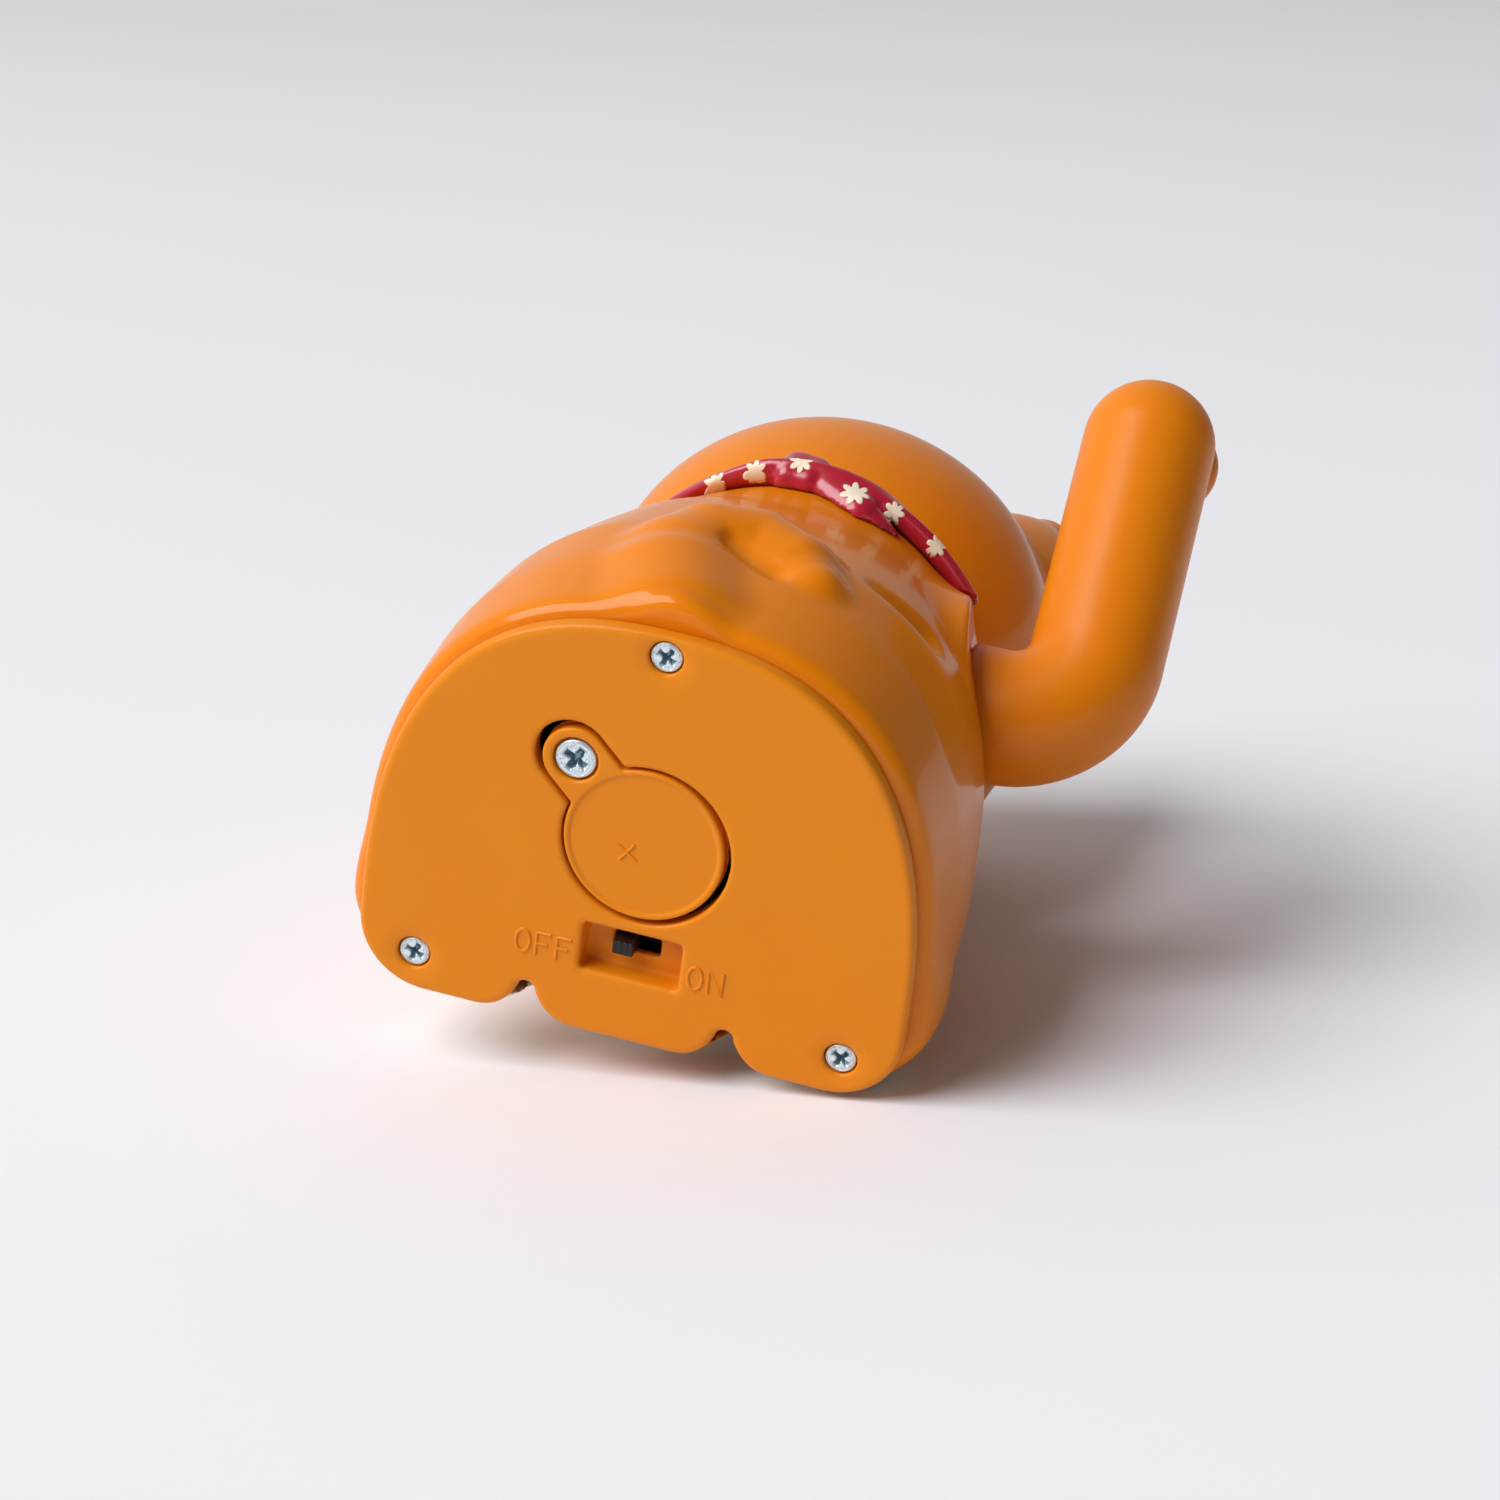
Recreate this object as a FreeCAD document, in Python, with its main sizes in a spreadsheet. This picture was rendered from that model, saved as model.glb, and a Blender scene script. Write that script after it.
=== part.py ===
# Waving dog figure: a hollow dog on a screwed base plate, with a button cell, a slide switch and a
# pendulum drive that swings one foreleg. Millimetres, +Z up, the dog faces -Y, and the origin is the
# centre of the battery door on the underside of the base plate.
import FreeCAD, Part
import math
import operator
import os

import Sketcher
from FreeCAD import Placement, Rotation, Vector

doc = FreeCAD.newDocument("WavingDog")
sheet = doc.addObject("Spreadsheet::Sheet", "Sizes")

OPERATIONS = {"+": operator.add, "-": operator.sub, "*": operator.mul, "/": operator.truediv}


class Size:
    """A number together with the sheet expression that gives it."""

    def __init__(self, text, value):
        self.text = text
        self.value = float(value)

    def __add__(self, other):
        return combine(self, "+", other)

    def __radd__(self, other):
        return combine(other, "+", self)

    def __sub__(self, other):
        return combine(self, "-", other)

    def __rsub__(self, other):
        return combine(other, "-", self)

    def __mul__(self, other):
        return combine(self, "*", other)

    def __rmul__(self, other):
        return combine(other, "*", self)

    def __truediv__(self, other):
        return combine(self, "/", other)

    def __neg__(self):
        return combine(0, "-", self)


def as_size(value):
    return value if isinstance(value, Size) else Size(f"({value})", value)


def combine(left, sign, right):
    left, right = as_size(left), as_size(right)
    return Size(f"({left.text} {sign} {right.text})", OPERATIONS[sign](left.value, right.value))


sheet_rows = []


def size(alias, value):
    """Write one driving dimension into the sheet and give it back."""
    sheet_rows.append(alias)
    row = len(sheet_rows)
    sheet.set(f"A{row}", alias.replace("_", " "))
    sheet.set(f"B{row}", str(value))
    sheet.setAlias(f"B{row}", alias)
    return Size(f"Sizes.{alias}", value)


def vector(x, y, z):
    return Vector(as_size(x).value, as_size(y).value, as_size(z).value)


# Base plate: a D-shaped outline with three lobes at the front
plate_half_width = size("plate_half_width", 26.9)
plate_back = size("plate_back", 21.7)
plate_front = size("plate_front", 21.4)
plate_widest = size("plate_widest", 13.0)
plate_power = size("plate_power", 2.5)
plate_thick = size("plate_thick", 2.0)
plate_corner = size("plate_corner", 7.0)
plate_edge_round = size("plate_edge_round", 0.5)
notch_place = size("notch_place", 9.87)
notch_depth = size("notch_depth", 4.9)
notch_half_width = size("notch_half_width", 2.6)
notch_round = size("notch_round", 0.9)
notch_lip_round = size("notch_lip_round", 2.4)

# Clearances that several pieces share
running_gap = size("running_gap", 0.05)
loose_gap = size("loose_gap", 0.25)
clear_gap = size("clear_gap", 0.5)
seat_gap = size("seat_gap", 0.15)

# The axle that the arm swings on
axle_back = size("axle_back", 1.0)
axle_height = size("axle_height", 39.5)
axle_radius = size("axle_radius", 1.0)

# Body shell, by stations up its height: the rise over the plate's underside or over the axle, then how
# far the body stands out past the plate at the side, back and front
body_wall = size("body_wall", 2.2)
front_wall = size("front_wall", 3.2)
lip_inset = size("lip_inset", 0.5)
STATIONS = (
    ("hem", 0, 4.0, 1.3, 1.3, 1.4),
    ("hip", 0, 12.0, 1.6, 2.0, 1.9),
    ("belly", 0, 21.0, 1.0, 1.6, 2.3),
    ("waist", 0, 30.0, -0.4, -0.7, 3.0),
    ("chest", axle_height, 0, -2.7, -3.7, 3.4),
    ("shoulder", axle_height, 6.5, -5.1, -6.1, 2.9),
    ("collar", axle_height, 10.5, -8.3, -10.7, 1.6),
    ("neck", axle_height, 14.0, -11.3, -15.2, 0.6),
)
stations = {}
for station, level, rise, side, back, front in STATIONS:
    stations[station] = (
        level + size(f"{station}_rise", rise),
        plate_half_width + size(f"{station}_side", side),
        plate_back + size(f"{station}_back", back),
        plate_front + size(f"{station}_front", front),
    )
hip_back = stations["hip"][2]
chest_half_width = stations["chest"][1]
chest_front = stations["chest"][3]
shoulder_height = stations["shoulder"][0]
shoulder_back = stations["shoulder"][2]
neck_height = stations["neck"][0]
body_widest = size("body_widest", 8.8)
body_power = size("body_power", 2.3)
foot_inset = size("foot_inset", 8.1)
foot_setback = size("foot_setback", 7.8)
foot_lift = size("foot_lift", 5.0)
foot_half_width = size("foot_half_width", 9.7)
foot_reach = size("foot_reach", 9.8)
foot_rise = size("foot_rise", 8.6)
groove_radius = size("groove_radius", 1.3)
groove_rise = size("groove_rise", 9.0)
foreleg_place = size("foreleg_place", 13.5)
foreleg_sink = size("foreleg_sink", 5.0)
foreleg_half_width = size("foreleg_half_width", 4.8)
foreleg_reach = size("foreleg_reach", 5.6)
foreleg_half = size("foreleg_half", 10.5)
foreleg_drop = size("foreleg_drop", 6.5)
foreleg_lean = size("foreleg_lean", 14.0)
forepaw_radius = size("forepaw_radius", 5.2)

# Tail: a curl in relief on the back
tail_radius = size("tail_radius", 4.4)
tail_stem_place = size("tail_stem_place", 3.0)
tail_stem_half = size("tail_stem_half", 8.0)
tail_curl_radius = size("tail_curl_radius", 5.2)
tail_height = size("tail_height", 20.0)
tail_sink = size("tail_sink", 3.1)
tail_lean = size("tail_lean", 13.0)

# Head, muzzle, jowls and ears
head_forward = size("head_forward", 10.8)
head_sink = size("head_sink", 6.0)
head_overhang = size("head_overhang", 0.8)
head_radius = size("head_radius", 24.0)
head_wall = size("head_wall", 2.0)
muzzle_sink = size("muzzle_sink", 4.8)
muzzle_drop = size("muzzle_drop", 8.1)
muzzle_half_width = size("muzzle_half_width", 9.4)
muzzle_reach = size("muzzle_reach", 7.8)
muzzle_rise = size("muzzle_rise", 6.6)
jowl_place = size("jowl_place", 9.5)
jowl_sink = size("jowl_sink", 10.8)
jowl_drop = size("jowl_drop", 9.0)
jowl_half_width = size("jowl_half_width", 10.5)
jowl_reach = size("jowl_reach", 9.0)
jowl_rise = size("jowl_rise", 8.5)
ear_place = size("ear_place", 15.6)
ear_behind = size("ear_behind", 5.5)
ear_sink = size("ear_sink", 5.0)
ear_half_width = size("ear_half_width", 7.2)
ear_thick = size("ear_thick", 4.2)
ear_rise = size("ear_rise", 11.0)
ear_splay = size("ear_splay", 20.0)
spigot_radius = size("spigot_radius", 7.0)
spigot_bore = size("spigot_bore", 5.0)
spigot_length = size("spigot_length", 4.6)

# Bandana round the neck
band_thick = size("band_thick", 1.8)
band_above_shoulder = size("band_above_shoulder", 0.3)
band_below_neck = size("band_below_neck", 1.9)
bib_half_width = size("bib_half_width", 15.0)
bib_drop = size("bib_drop", 13.3)
knot_half_width = size("knot_half_width", 2.8)
knot_radius = size("knot_radius", 2.6)
knot_end_radius = size("knot_end_radius", 1.8)
knot_proud = size("knot_proud", 1.8)
knot_lift = size("knot_lift", 2.0)
loose_end_length = size("loose_end_length", 12.4)
loose_end_half_width = size("loose_end_half_width", 2.7)
loose_end_thick = size("loose_end_thick", 2.4)
loose_end_proud = size("loose_end_proud", 0.9)
loose_end_droop = size("loose_end_droop", 26.0)
loose_end_wrap = size("loose_end_wrap", 16.0)

# Base screws, door screw and frame screws
base_screw_side_edge = size("base_screw_side_edge", 5.72)
base_screw_front_edge = size("base_screw_front_edge", 3.91)
base_screw_back_edge = size("base_screw_back_edge", 2.2)
base_screw_head = size("base_screw_head", 1.5)
base_screw_shank = size("base_screw_shank", 0.75)
base_screw_length = size("base_screw_length", 8.0)
base_screw_sink = size("base_screw_sink", 1.2)
base_screw_well = size("base_screw_well", 1.65)
screw_head_thick = size("screw_head_thick", 0.8)
screw_slot = size("screw_slot", 0.45)
screw_slot_depth = size("screw_slot_depth", 0.55)
boss_radius = size("boss_radius", 3.0)
boss_height = size("boss_height", 14.0)

# Battery door, cell and contacts
door_radius = size("door_radius", 7.75)
door_thick = size("door_thick", 1.4)
door_rim_width = size("door_rim_width", 0.8)
door_groove_width = size("door_groove_width", 0.45)
door_groove_depth = size("door_groove_depth", 0.3)
door_tab_x = size("door_tab_x", 7.34)
door_tab_y = size("door_tab_y", 7.24)
door_tab_radius = size("door_tab_radius", 3.2)
door_screw_head = size("door_screw_head", 1.95)
door_screw_shank = size("door_screw_shank", 0.9)
door_screw_length = size("door_screw_length", 5.5)
door_screw_sink = size("door_screw_sink", 0.95)
door_post_radius = size("door_post_radius", 2.6)
cell_radius = size("cell_radius", 5.8)
cell_height = size("cell_height", 5.4)
cell_step = size("cell_step", 0.5)
cup_wall = size("cup_wall", 1.2)
cup_roof = size("cup_roof", 1.2)
contact_thick = size("contact_thick", 0.3)
contact_width = size("contact_width", 3.0)

# Slide switch
well_half_length = size("well_half_length", 4.88)
well_back = size("well_back", 9.5)
well_front = size("well_front", 14.6)
well_depth = size("well_depth", 2.6)
well_wall = size("well_wall", 1.0)
well_floor = size("well_floor", 0.8)
knob_length = size("knob_length", 2.05)
knob_width = size("knob_width", 1.4)
knob_place = size("knob_place", 11.95)
knob_drop = size("knob_drop", 1.7)
knob_travel = size("knob_travel", 2.0)
switch_half_length = size("switch_half_length", 4.4)
switch_half_width = size("switch_half_width", 2.2)
switch_height = size("switch_height", 3.4)
pin_pitch = size("pin_pitch", 2.5)
pin_length = size("pin_length", 1.4)
pin_width = size("pin_width", 0.6)

# Board, coil and the parts on the board
board_half_length = size("board_half_length", 15.8)
board_half_width = size("board_half_width", 14.5)
board_gap = size("board_gap", 1.05)
board_thick = size("board_thick", 1.2)
board_notch_half = size("board_notch_half", 5.0)
post_side_edge = size("post_side_edge", 2.6)
post_end_edge = size("post_end_edge", 3.0)
post_radius = size("post_radius", 2.2)
chip_length = size("chip_length", 4.0)
chip_width = size("chip_width", 3.0)
chip_height = size("chip_height", 1.3)
capacitor_radius = size("capacitor_radius", 2.0)
capacitor_height = size("capacitor_height", 3.4)
coil_radius = size("coil_radius", 6.4)
coil_core_radius = size("coil_core_radius", 1.5)
coil_height = size("coil_height", 3.4)
coil_flange = size("coil_flange", 0.5)
coil_barrel = size("coil_barrel", 2.4)
lead_radius = size("lead_radius", 0.4)
lead_bend = size("lead_bend", 1.4)

# Bearing frame and pendulum
cheek_thick = size("cheek_thick", 2.0)
cheek_top = size("cheek_top", 4.0)
flange_thick = size("flange_thick", 1.5)
frame_screw_head = size("frame_screw_head", 1.6)
frame_screw_length = size("frame_screw_length", 8.0)
clip_radius = size("clip_radius", 2.3)
clip_thick = size("clip_thick", 0.7)
swing_half = size("swing_half", 22.0)
magnet_gap = size("magnet_gap", 1.8)
pendulum_half_width = size("pendulum_half_width", 2.2)
pendulum_half_thick = size("pendulum_half_thick", 1.5)
pendulum_hub = size("pendulum_hub", 3.0)
pendulum_hub_half = size("pendulum_hub_half", 3.0)
magnet_radius = size("magnet_radius", 4.0)
magnet_thick = size("magnet_thick", 3.0)
magnet_cup_wall = size("magnet_cup_wall", 1.0)
stop_bar = size("stop_bar", 2.6)
stop_above_cup = size("stop_above_cup", 2.9)

# Waving arm
arm_radius = size("arm_radius", 6.8)
arm_wall = size("arm_wall", 2.0)
arm_bend = size("arm_bend", 8.2)
arm_reach = size("arm_reach", 33.6)
arm_tilt = size("arm_tilt", 38.4)
arm_lean = size("arm_lean", 2.0)
arm_stub = size("arm_stub", 3.55)
shoulder_inset = size("shoulder_inset", 3.6)
shoulder_radius = size("shoulder_radius", 10.5)
shoulder_behind = size("shoulder_behind", 1.0)
shoulder_below = size("shoulder_below", 0.6)
recess_gap = size("recess_gap", 0.4)
arm_hole_radius = size("arm_hole_radius", 3.2)
bush_wall = size("bush_wall", 2.8)
plug_neck_radius = size("plug_neck_radius", 2.5)
plug_thick = size("plug_thick", 1.4)
axle_grip = size("axle_grip", 5.0)
pad_half_width = size("pad_half_width", 4.2)
pad_rise = size("pad_rise", 0.7)
doc.recompute()

RIGHT_ANGLE = 90.0
FULL_TURN = 360.0
ALONG_X = Rotation(Vector(0, 1, 0), RIGHT_ANGLE)
AGAINST_X = Rotation(Vector(0, 1, 0), -RIGHT_ANGLE)
UPSIDE_DOWN = Rotation(Vector(1, 0, 0), 2 * RIGHT_ANGLE)
far_out = plate_half_width * 3
overrun = clear_gap * 2


# Ways of making a piece
def bind(thing, **links):
    for name, value in links.items():
        thing.setExpression(name, as_size(value).text)


def place(thing, spot, rotation=Rotation()):
    thing.Placement = Placement(vector(*spot), rotation)
    for axis, value in zip("xyz", spot):
        thing.setExpression(f"Placement.Base.{axis}", as_size(value).text)
    return thing


def box(name, low, high):
    """A block between two corners."""
    block = doc.addObject("Part::Box", name)
    bind(block, Length=high[0] - low[0], Width=high[1] - low[1], Height=high[2] - low[2])
    return place(block, low)


def cylinder(name, radius, length, start, rotation=Rotation()):
    rod = doc.addObject("Part::Cylinder", name)
    bind(rod, Radius=radius, Height=length)
    return place(rod, start, rotation)


def ball(name, centre, radii, rotation=Rotation()):
    """An ellipsoid with its three radii along its own X, Y and Z."""
    egg = doc.addObject("Part::Ellipsoid", name)
    bind(egg, Radius2=radii[0], Radius3=radii[1], Radius1=radii[2])
    return place(egg, centre, rotation)


def fuse(name, *pieces):
    joined = doc.addObject("Part::MultiFuse", name)
    joined.Shapes = list(pieces)
    return joined


def cut(name, base, *tools):
    result = doc.addObject("Part::Cut", name)
    result.Base = base
    result.Tool = tools[0] if len(tools) == 1 else fuse(f"{name}_tools", *tools)
    return result


def common(name, *pieces):
    shared = doc.addObject("Part::MultiCommon", name)
    shared.Shapes = list(pieces)
    return shared


def group(name, pieces):
    together = doc.addObject("Part::Compound", name)
    together.Links = list(pieces)
    return together


def form(name, shape):
    """A free form that no primitive gives, such as a loft through formula sections."""
    feature = doc.addObject("Part::Feature", name)
    feature.Shape = shape
    return feature


def origin_plane(body, role):
    return next(plane for plane in body.Origin.OriginFeatures if plane.Role == role)


def new_sketch(body, name, role, lift=0):
    sketch = body.newObject("Sketcher::SketchObject", name)
    sketch.AttachmentSupport = [(origin_plane(body, role), "")]
    sketch.MapMode = "FlatFace"
    sketch.AttachmentOffset = Placement(Vector(0, 0, as_size(lift).value), Rotation())
    sketch.setExpression("AttachmentOffset.Base.z", as_size(lift).text)
    return sketch


def hold(sketch, geometry, point, spot):
    """Tie one point of a sketch to its two distances from the sketch's origin."""
    for kind, axis, value in (("DistanceX", -2, spot[0]), ("DistanceY", -1, spot[1])):
        value = as_size(value)
        if value.value == 0:
            sketch.addConstraint(Sketcher.Constraint("PointOnObject", geometry, point, axis))
        else:
            number = sketch.addConstraint(Sketcher.Constraint(kind, -1, 1, geometry, point, value.value))
            sketch.setExpression(f"Constraints[{number}]", value.text)


def polygon(sketch, points):
    count = len(points)
    corners = [vector(x, y, 0) for x, y in points]
    first = sketch.GeometryCount
    for i in range(count):
        sketch.addGeometry(Part.LineSegment(corners[i], corners[(i + 1) % count]))
    for i in range(count):
        sketch.addConstraint(Sketcher.Constraint("Coincident", first + i, 2, first + (i + 1) % count, 1))
    for i, spot in enumerate(points):
        hold(sketch, first + i, 1, spot)


def turned(name, profile):
    """A piece of revolution about its own Z axis, from a profile of radius and height."""
    body = doc.addObject("PartDesign::Body", name)
    sketch = new_sketch(body, f"{name}_profile", "XZ_Plane")
    polygon(sketch, profile)
    revolution = body.newObject("PartDesign::Revolution", f"{name}_turning")
    revolution.Profile = sketch
    revolution.ReferenceAxis = (sketch, ["V_Axis"])
    revolution.Angle = FULL_TURN
    return body


def padded(name, role, points, thick, lift=0):
    """A flat piece: an outline on one of its own planes, given a thickness."""
    body = doc.addObject("PartDesign::Body", name)
    sketch = new_sketch(body, f"{name}_outline", role, lift)
    polygon(sketch, points)
    pad = body.newObject("PartDesign::Pad", f"{name}_pad")
    pad.Profile = sketch
    bind(pad, Length=thick)
    return body


def cross_points(half, arm):
    """The outline of a cross with arms of the given half width."""
    return ((arm, half), (half, half), (half, arm), (-half, arm), (-half, half), (-arm, half),
            (-arm, -half), (-half, -half), (-half, -arm), (half, -arm), (half, -half), (arm, -half))


def screw(name, head, shank, length, spot, rotation=Rotation()):
    """A cross-recess screw whose head starts at its own origin and whose shank points along +Z."""
    tip = shank * 2
    crown = head * 0.7
    bevel = screw_head_thick * 0.4
    slot_reach = head * 0.6
    body = turned(name, ((0, 0), (crown, 0), (head, bevel), (head, screw_head_thick),
                         (shank, screw_head_thick), (shank, screw_head_thick + length - tip),
                         (0, screw_head_thick + length)))
    sketch = new_sketch(body, f"{name}_cross", "XY_Plane")
    polygon(sketch, cross_points(screw_slot / 2, slot_reach))
    recess = body.newObject("PartDesign::Pocket", f"{name}_recess")
    recess.Profile = sketch
    recess.Reversed = True
    bind(recess, Length=screw_slot_depth)
    return place(body, spot, rotation)


nodes = []


def node(name, piece):
    """Name a finished sub-part."""
    piece.Label = name
    nodes.append(piece)
    return piece


# Formula outlines
def oval_point(turn, half_width, back, front, widest, power):
    """A point of a squarish oval that is widest at one depth, with its own reach to back and front."""
    across, along = math.cos(turn), math.sin(turn)
    reach = back + widest if along > 0 else front - widest
    x = half_width * math.copysign(abs(across) ** (2 / power), across)
    y = -widest + reach * math.copysign(abs(along) ** (2 / power), along)
    return x, y


def oval_wire(height, half_width, back, front, widest, power):
    steps = 40
    spots = []
    for i in range(steps):
        x, y = oval_point(2 * math.pi * i / steps, half_width, back, front, widest, power)
        spots.append(Vector(x, y, height))
    curve = Part.BSplineCurve()
    curve.interpolate(Points=spots, PeriodicFlag=True)
    return Part.Wire([curve.toShape()])


def body_form(offset, front_offset, bottom):
    """The body's oval form, grown or shrunk sideways, from the given bottom height to the neck."""
    lip = (plate_half_width.value - lip_inset.value, plate_back.value - lip_inset.value,
           plate_front.value - lip_inset.value)
    rows = [(plate_thick.value, *lip)]
    rows += [tuple(cell.value for cell in station) for station in stations.values()]
    low, high = rows[0][0], rows[-1][0]
    wires = []
    for height, half_width, back, front in rows:
        share = (height - low) / (high - low)
        blend = min(1.0, 2 * share)
        widest = plate_widest.value + (body_widest.value - plate_widest.value) * blend
        power = plate_power.value + (body_power.value - plate_power.value) * blend
        level = bottom if height == low else height
        wires.append(oval_wire(level, half_width + offset, back + offset, front + front_offset,
                               widest, power))
    return Part.makeLoft(wires, True, False)


def rounded_path(corners):
    """Straight runs and tangent arcs along corners given as x, y and the radius there."""
    spots = [Vector(x, y, 0) for x, y, radius in corners]
    pieces = []
    start = spots[0]
    for before, here, after, corner in zip(spots, spots[1:], spots[2:], corners[1:-1]):
        incoming = (here - before).normalize()
        outgoing = (after - here).normalize()
        turn = incoming.getAngle(outgoing)
        run = corner[2] * math.tan(turn / 2)
        arc_start = here - incoming * run
        arc_end = here + outgoing * run
        middle = here + (outgoing - incoming).normalize() * corner[2] * (1 / math.cos(turn / 2) - 1)
        pieces.append(Part.LineSegment(start, arc_start))
        pieces.append(Part.Arc(arc_start, middle, arc_end))
        start = arc_end
    pieces.append(Part.LineSegment(start, spots[-1]))
    return pieces


def plate_outline():
    """The outline of the base plate: an oval back, round front corners and two notches."""
    half, front = plate_half_width.value, -plate_front.value
    notch, width = notch_place.value, notch_half_width.value
    steps = 10
    pieces = []
    for side in (1, -1):
        spots = []
        for i in range(steps + 1):
            x, y = oval_point(math.pi / 2 * (1 - i / steps), half, plate_back.value, plate_front.value,
                              plate_widest.value, plate_power.value)
            spots.append(Vector(side * x, y, 0))
        back = Part.BSplineCurve()
        back.interpolate(Points=spots, InitialTangent=Vector(side, 0, 0), FinalTangent=Vector(0, -1, 0))
        pieces.append(back)
        pieces += rounded_path((
            (side * half, -plate_widest.value, 0),
            (side * half, front, plate_corner.value),
            (side * (notch + width), front, notch_lip_round.value),
            (side * notch, front + notch_depth.value, notch_round.value),
            (side * (notch - width), front, notch_lip_round.value),
            (0, front, 0),
        ))
    return pieces


# Base plate
plate_body = doc.addObject("PartDesign::Body", "plate_slab")
plate_sketch = new_sketch(plate_body, "plate_outline", "XY_Plane")
plate_sketch.addGeometry(plate_outline(), False)
plate_pad = plate_body.newObject("PartDesign::Pad", "plate_pad")
plate_pad.Profile = plate_sketch
bind(plate_pad, Length=plate_thick)
doc.recompute()
under_edges = [f"Edge{i + 1}" for i, edge in enumerate(plate_pad.Shape.Edges)
               if edge.BoundBox.ZMax < plate_thick.value / 2]
plate_fillet = plate_body.newObject("PartDesign::Fillet", "plate_edge")
plate_fillet.Base = (plate_pad, under_edges)
bind(plate_fillet, Radius=plate_edge_round)

cup_radius = cell_radius + loose_gap
cell_floor = door_thick + loose_gap
cup_top = cell_floor + cell_height + contact_thick
roof_top = cup_top + cup_roof
well_top = well_depth + well_floor
board_under = roof_top + board_gap
post_place = board_half_length - post_side_edge
post_spread = board_half_width - post_end_edge
post_spots = [(side * post_place, axle_back + end * post_spread) for side in (1, -1) for end in (1, -1)]
door_screw_reach = door_screw_sink + door_screw_length

plate_solids = [
    plate_body,
    cylinder("cup_outside", cup_radius + cup_wall, roof_top, (0, 0, 0)),
    cylinder("door_post", door_post_radius, door_screw_reach + clear_gap, (door_tab_x, door_tab_y, 0)),
    box("well_outside", (-(well_half_length + well_wall), -(well_front + well_wall), plate_thick / 2),
        (well_half_length + well_wall, -(well_back - well_wall), well_top)),
]
for i, (x, y) in enumerate(post_spots):
    plate_solids.append(cylinder(f"post_{i}", post_radius, board_under - plate_thick / 2,
                                 (x, y, plate_thick / 2)))
plate_solid = fuse("plate_solid", *plate_solids)

base_screw_side = plate_half_width - base_screw_side_edge
base_screw_front = plate_front - base_screw_front_edge
base_screw_spots = (
    (base_screw_side, -base_screw_front),
    (-base_screw_side, -base_screw_front),
    (0, plate_back - base_screw_back_edge),
)
tab_angle = math.degrees(math.atan2(door_tab_y.value, door_tab_x.value))
tab_run = math.hypot(door_tab_x.value, door_tab_y.value)


def keyhole(name, grow, low, high):
    """The door's outline between two heights: a round lid, a round tab and the straight neck between."""
    lid = cylinder(f"{name}_lid", door_radius + grow, high - low, (0, 0, low))
    tab = cylinder(f"{name}_tab", door_tab_radius + grow, high - low, (door_tab_x, door_tab_y, low))
    neck = doc.addObject("Part::Box", f"{name}_neck")
    bind(neck, Width=(door_tab_radius + grow) * 2, Height=high - low)
    neck.Length = tab_run
    spin = Rotation(Vector(0, 0, 1), tab_angle)
    corner = spin.multVec(Vector(0, -(door_tab_radius.value + as_size(grow).value), 0))
    neck.Placement = Placement(Vector(corner.x, corner.y, as_size(low).value), spin)
    return fuse(name, lid, tab, neck)


switch_middle = -knob_place
slot_half_width = knob_width / 2 + loose_gap
slot_low = -(knob_travel + loose_gap)
slot_high = knob_length + loose_gap
plate_tools = [
    keyhole("door_pocket", loose_gap, -overrun, door_thick),
    cylinder("cell_bore", cup_radius, cup_top - door_thick, (0, 0, door_thick)),
    cylinder("door_screw_bore", door_screw_shank + running_gap, door_screw_reach + clear_gap,
             (door_tab_x, door_tab_y, door_thick)),
    box("switch_well", (-well_half_length, -well_front, -overrun),
        (well_half_length, -well_back, well_depth)),
    box("switch_slot", (slot_low, switch_middle - slot_half_width, 0),
        (slot_high, switch_middle + slot_half_width, well_top + overrun)),
    box("positive_recess", (-(contact_width / 2 + loose_gap), 0, door_thick + clear_gap),
        (contact_width / 2 + loose_gap, cup_radius + contact_thick, roof_top + overrun)),
    box("negative_slot", (-(contact_width / 2 + loose_gap), -cup_radius, cup_top - contact_thick),
        (contact_width / 2 + loose_gap, -(cup_radius - contact_thick * 3), roof_top + overrun)),
]
for i, (x, y) in enumerate(base_screw_spots):
    plate_tools.append(cylinder(f"screw_well_{i}", base_screw_well, base_screw_sink + overrun,
                                (x, y, -overrun)))
    plate_tools.append(cylinder(f"screw_way_{i}", base_screw_shank + loose_gap, plate_thick + overrun,
                                (x, y, 0)))
for i, (x, y) in enumerate(post_spots):
    plate_tools.append(cylinder(f"post_bore_{i}", base_screw_shank + running_gap, board_under,
                                (x, y, plate_thick)))
node("base_plate", cut("base_plate", plate_solid, *plate_tools))

# Battery door with a ring groove inside its rim and a sunk screw seat
door_solid = keyhole("door_solid", 0, 0, door_thick)
groove_outer = door_radius - door_rim_width
groove_inner = groove_outer - door_groove_width
door_tools = (
    turned("door_groove", ((groove_inner, -overrun), (groove_outer, -overrun),
                           (groove_outer, door_groove_depth), (groove_inner, door_groove_depth))),
    cylinder("door_screw_seat", door_screw_head + loose_gap, door_screw_sink + overrun,
             (door_tab_x, door_tab_y, -overrun)),
    cylinder("door_screw_way", door_screw_shank + running_gap, door_thick + overrun,
             (door_tab_x, door_tab_y, 0)),
)
node("battery_door", cut("battery_door", door_solid, *door_tools))
node("battery_door_screw", screw("battery_door_screw", door_screw_head, door_screw_shank, door_screw_length,
                                 (door_tab_x, door_tab_y, door_screw_sink - screw_head_thick)))
node("base_screws", group("base_screws", [
    screw(f"base_screw_{i}", base_screw_head, base_screw_shank, base_screw_length,
          (x, y, base_screw_sink - screw_head_thick)) for i, (x, y) in enumerate(base_screw_spots)]))

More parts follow.
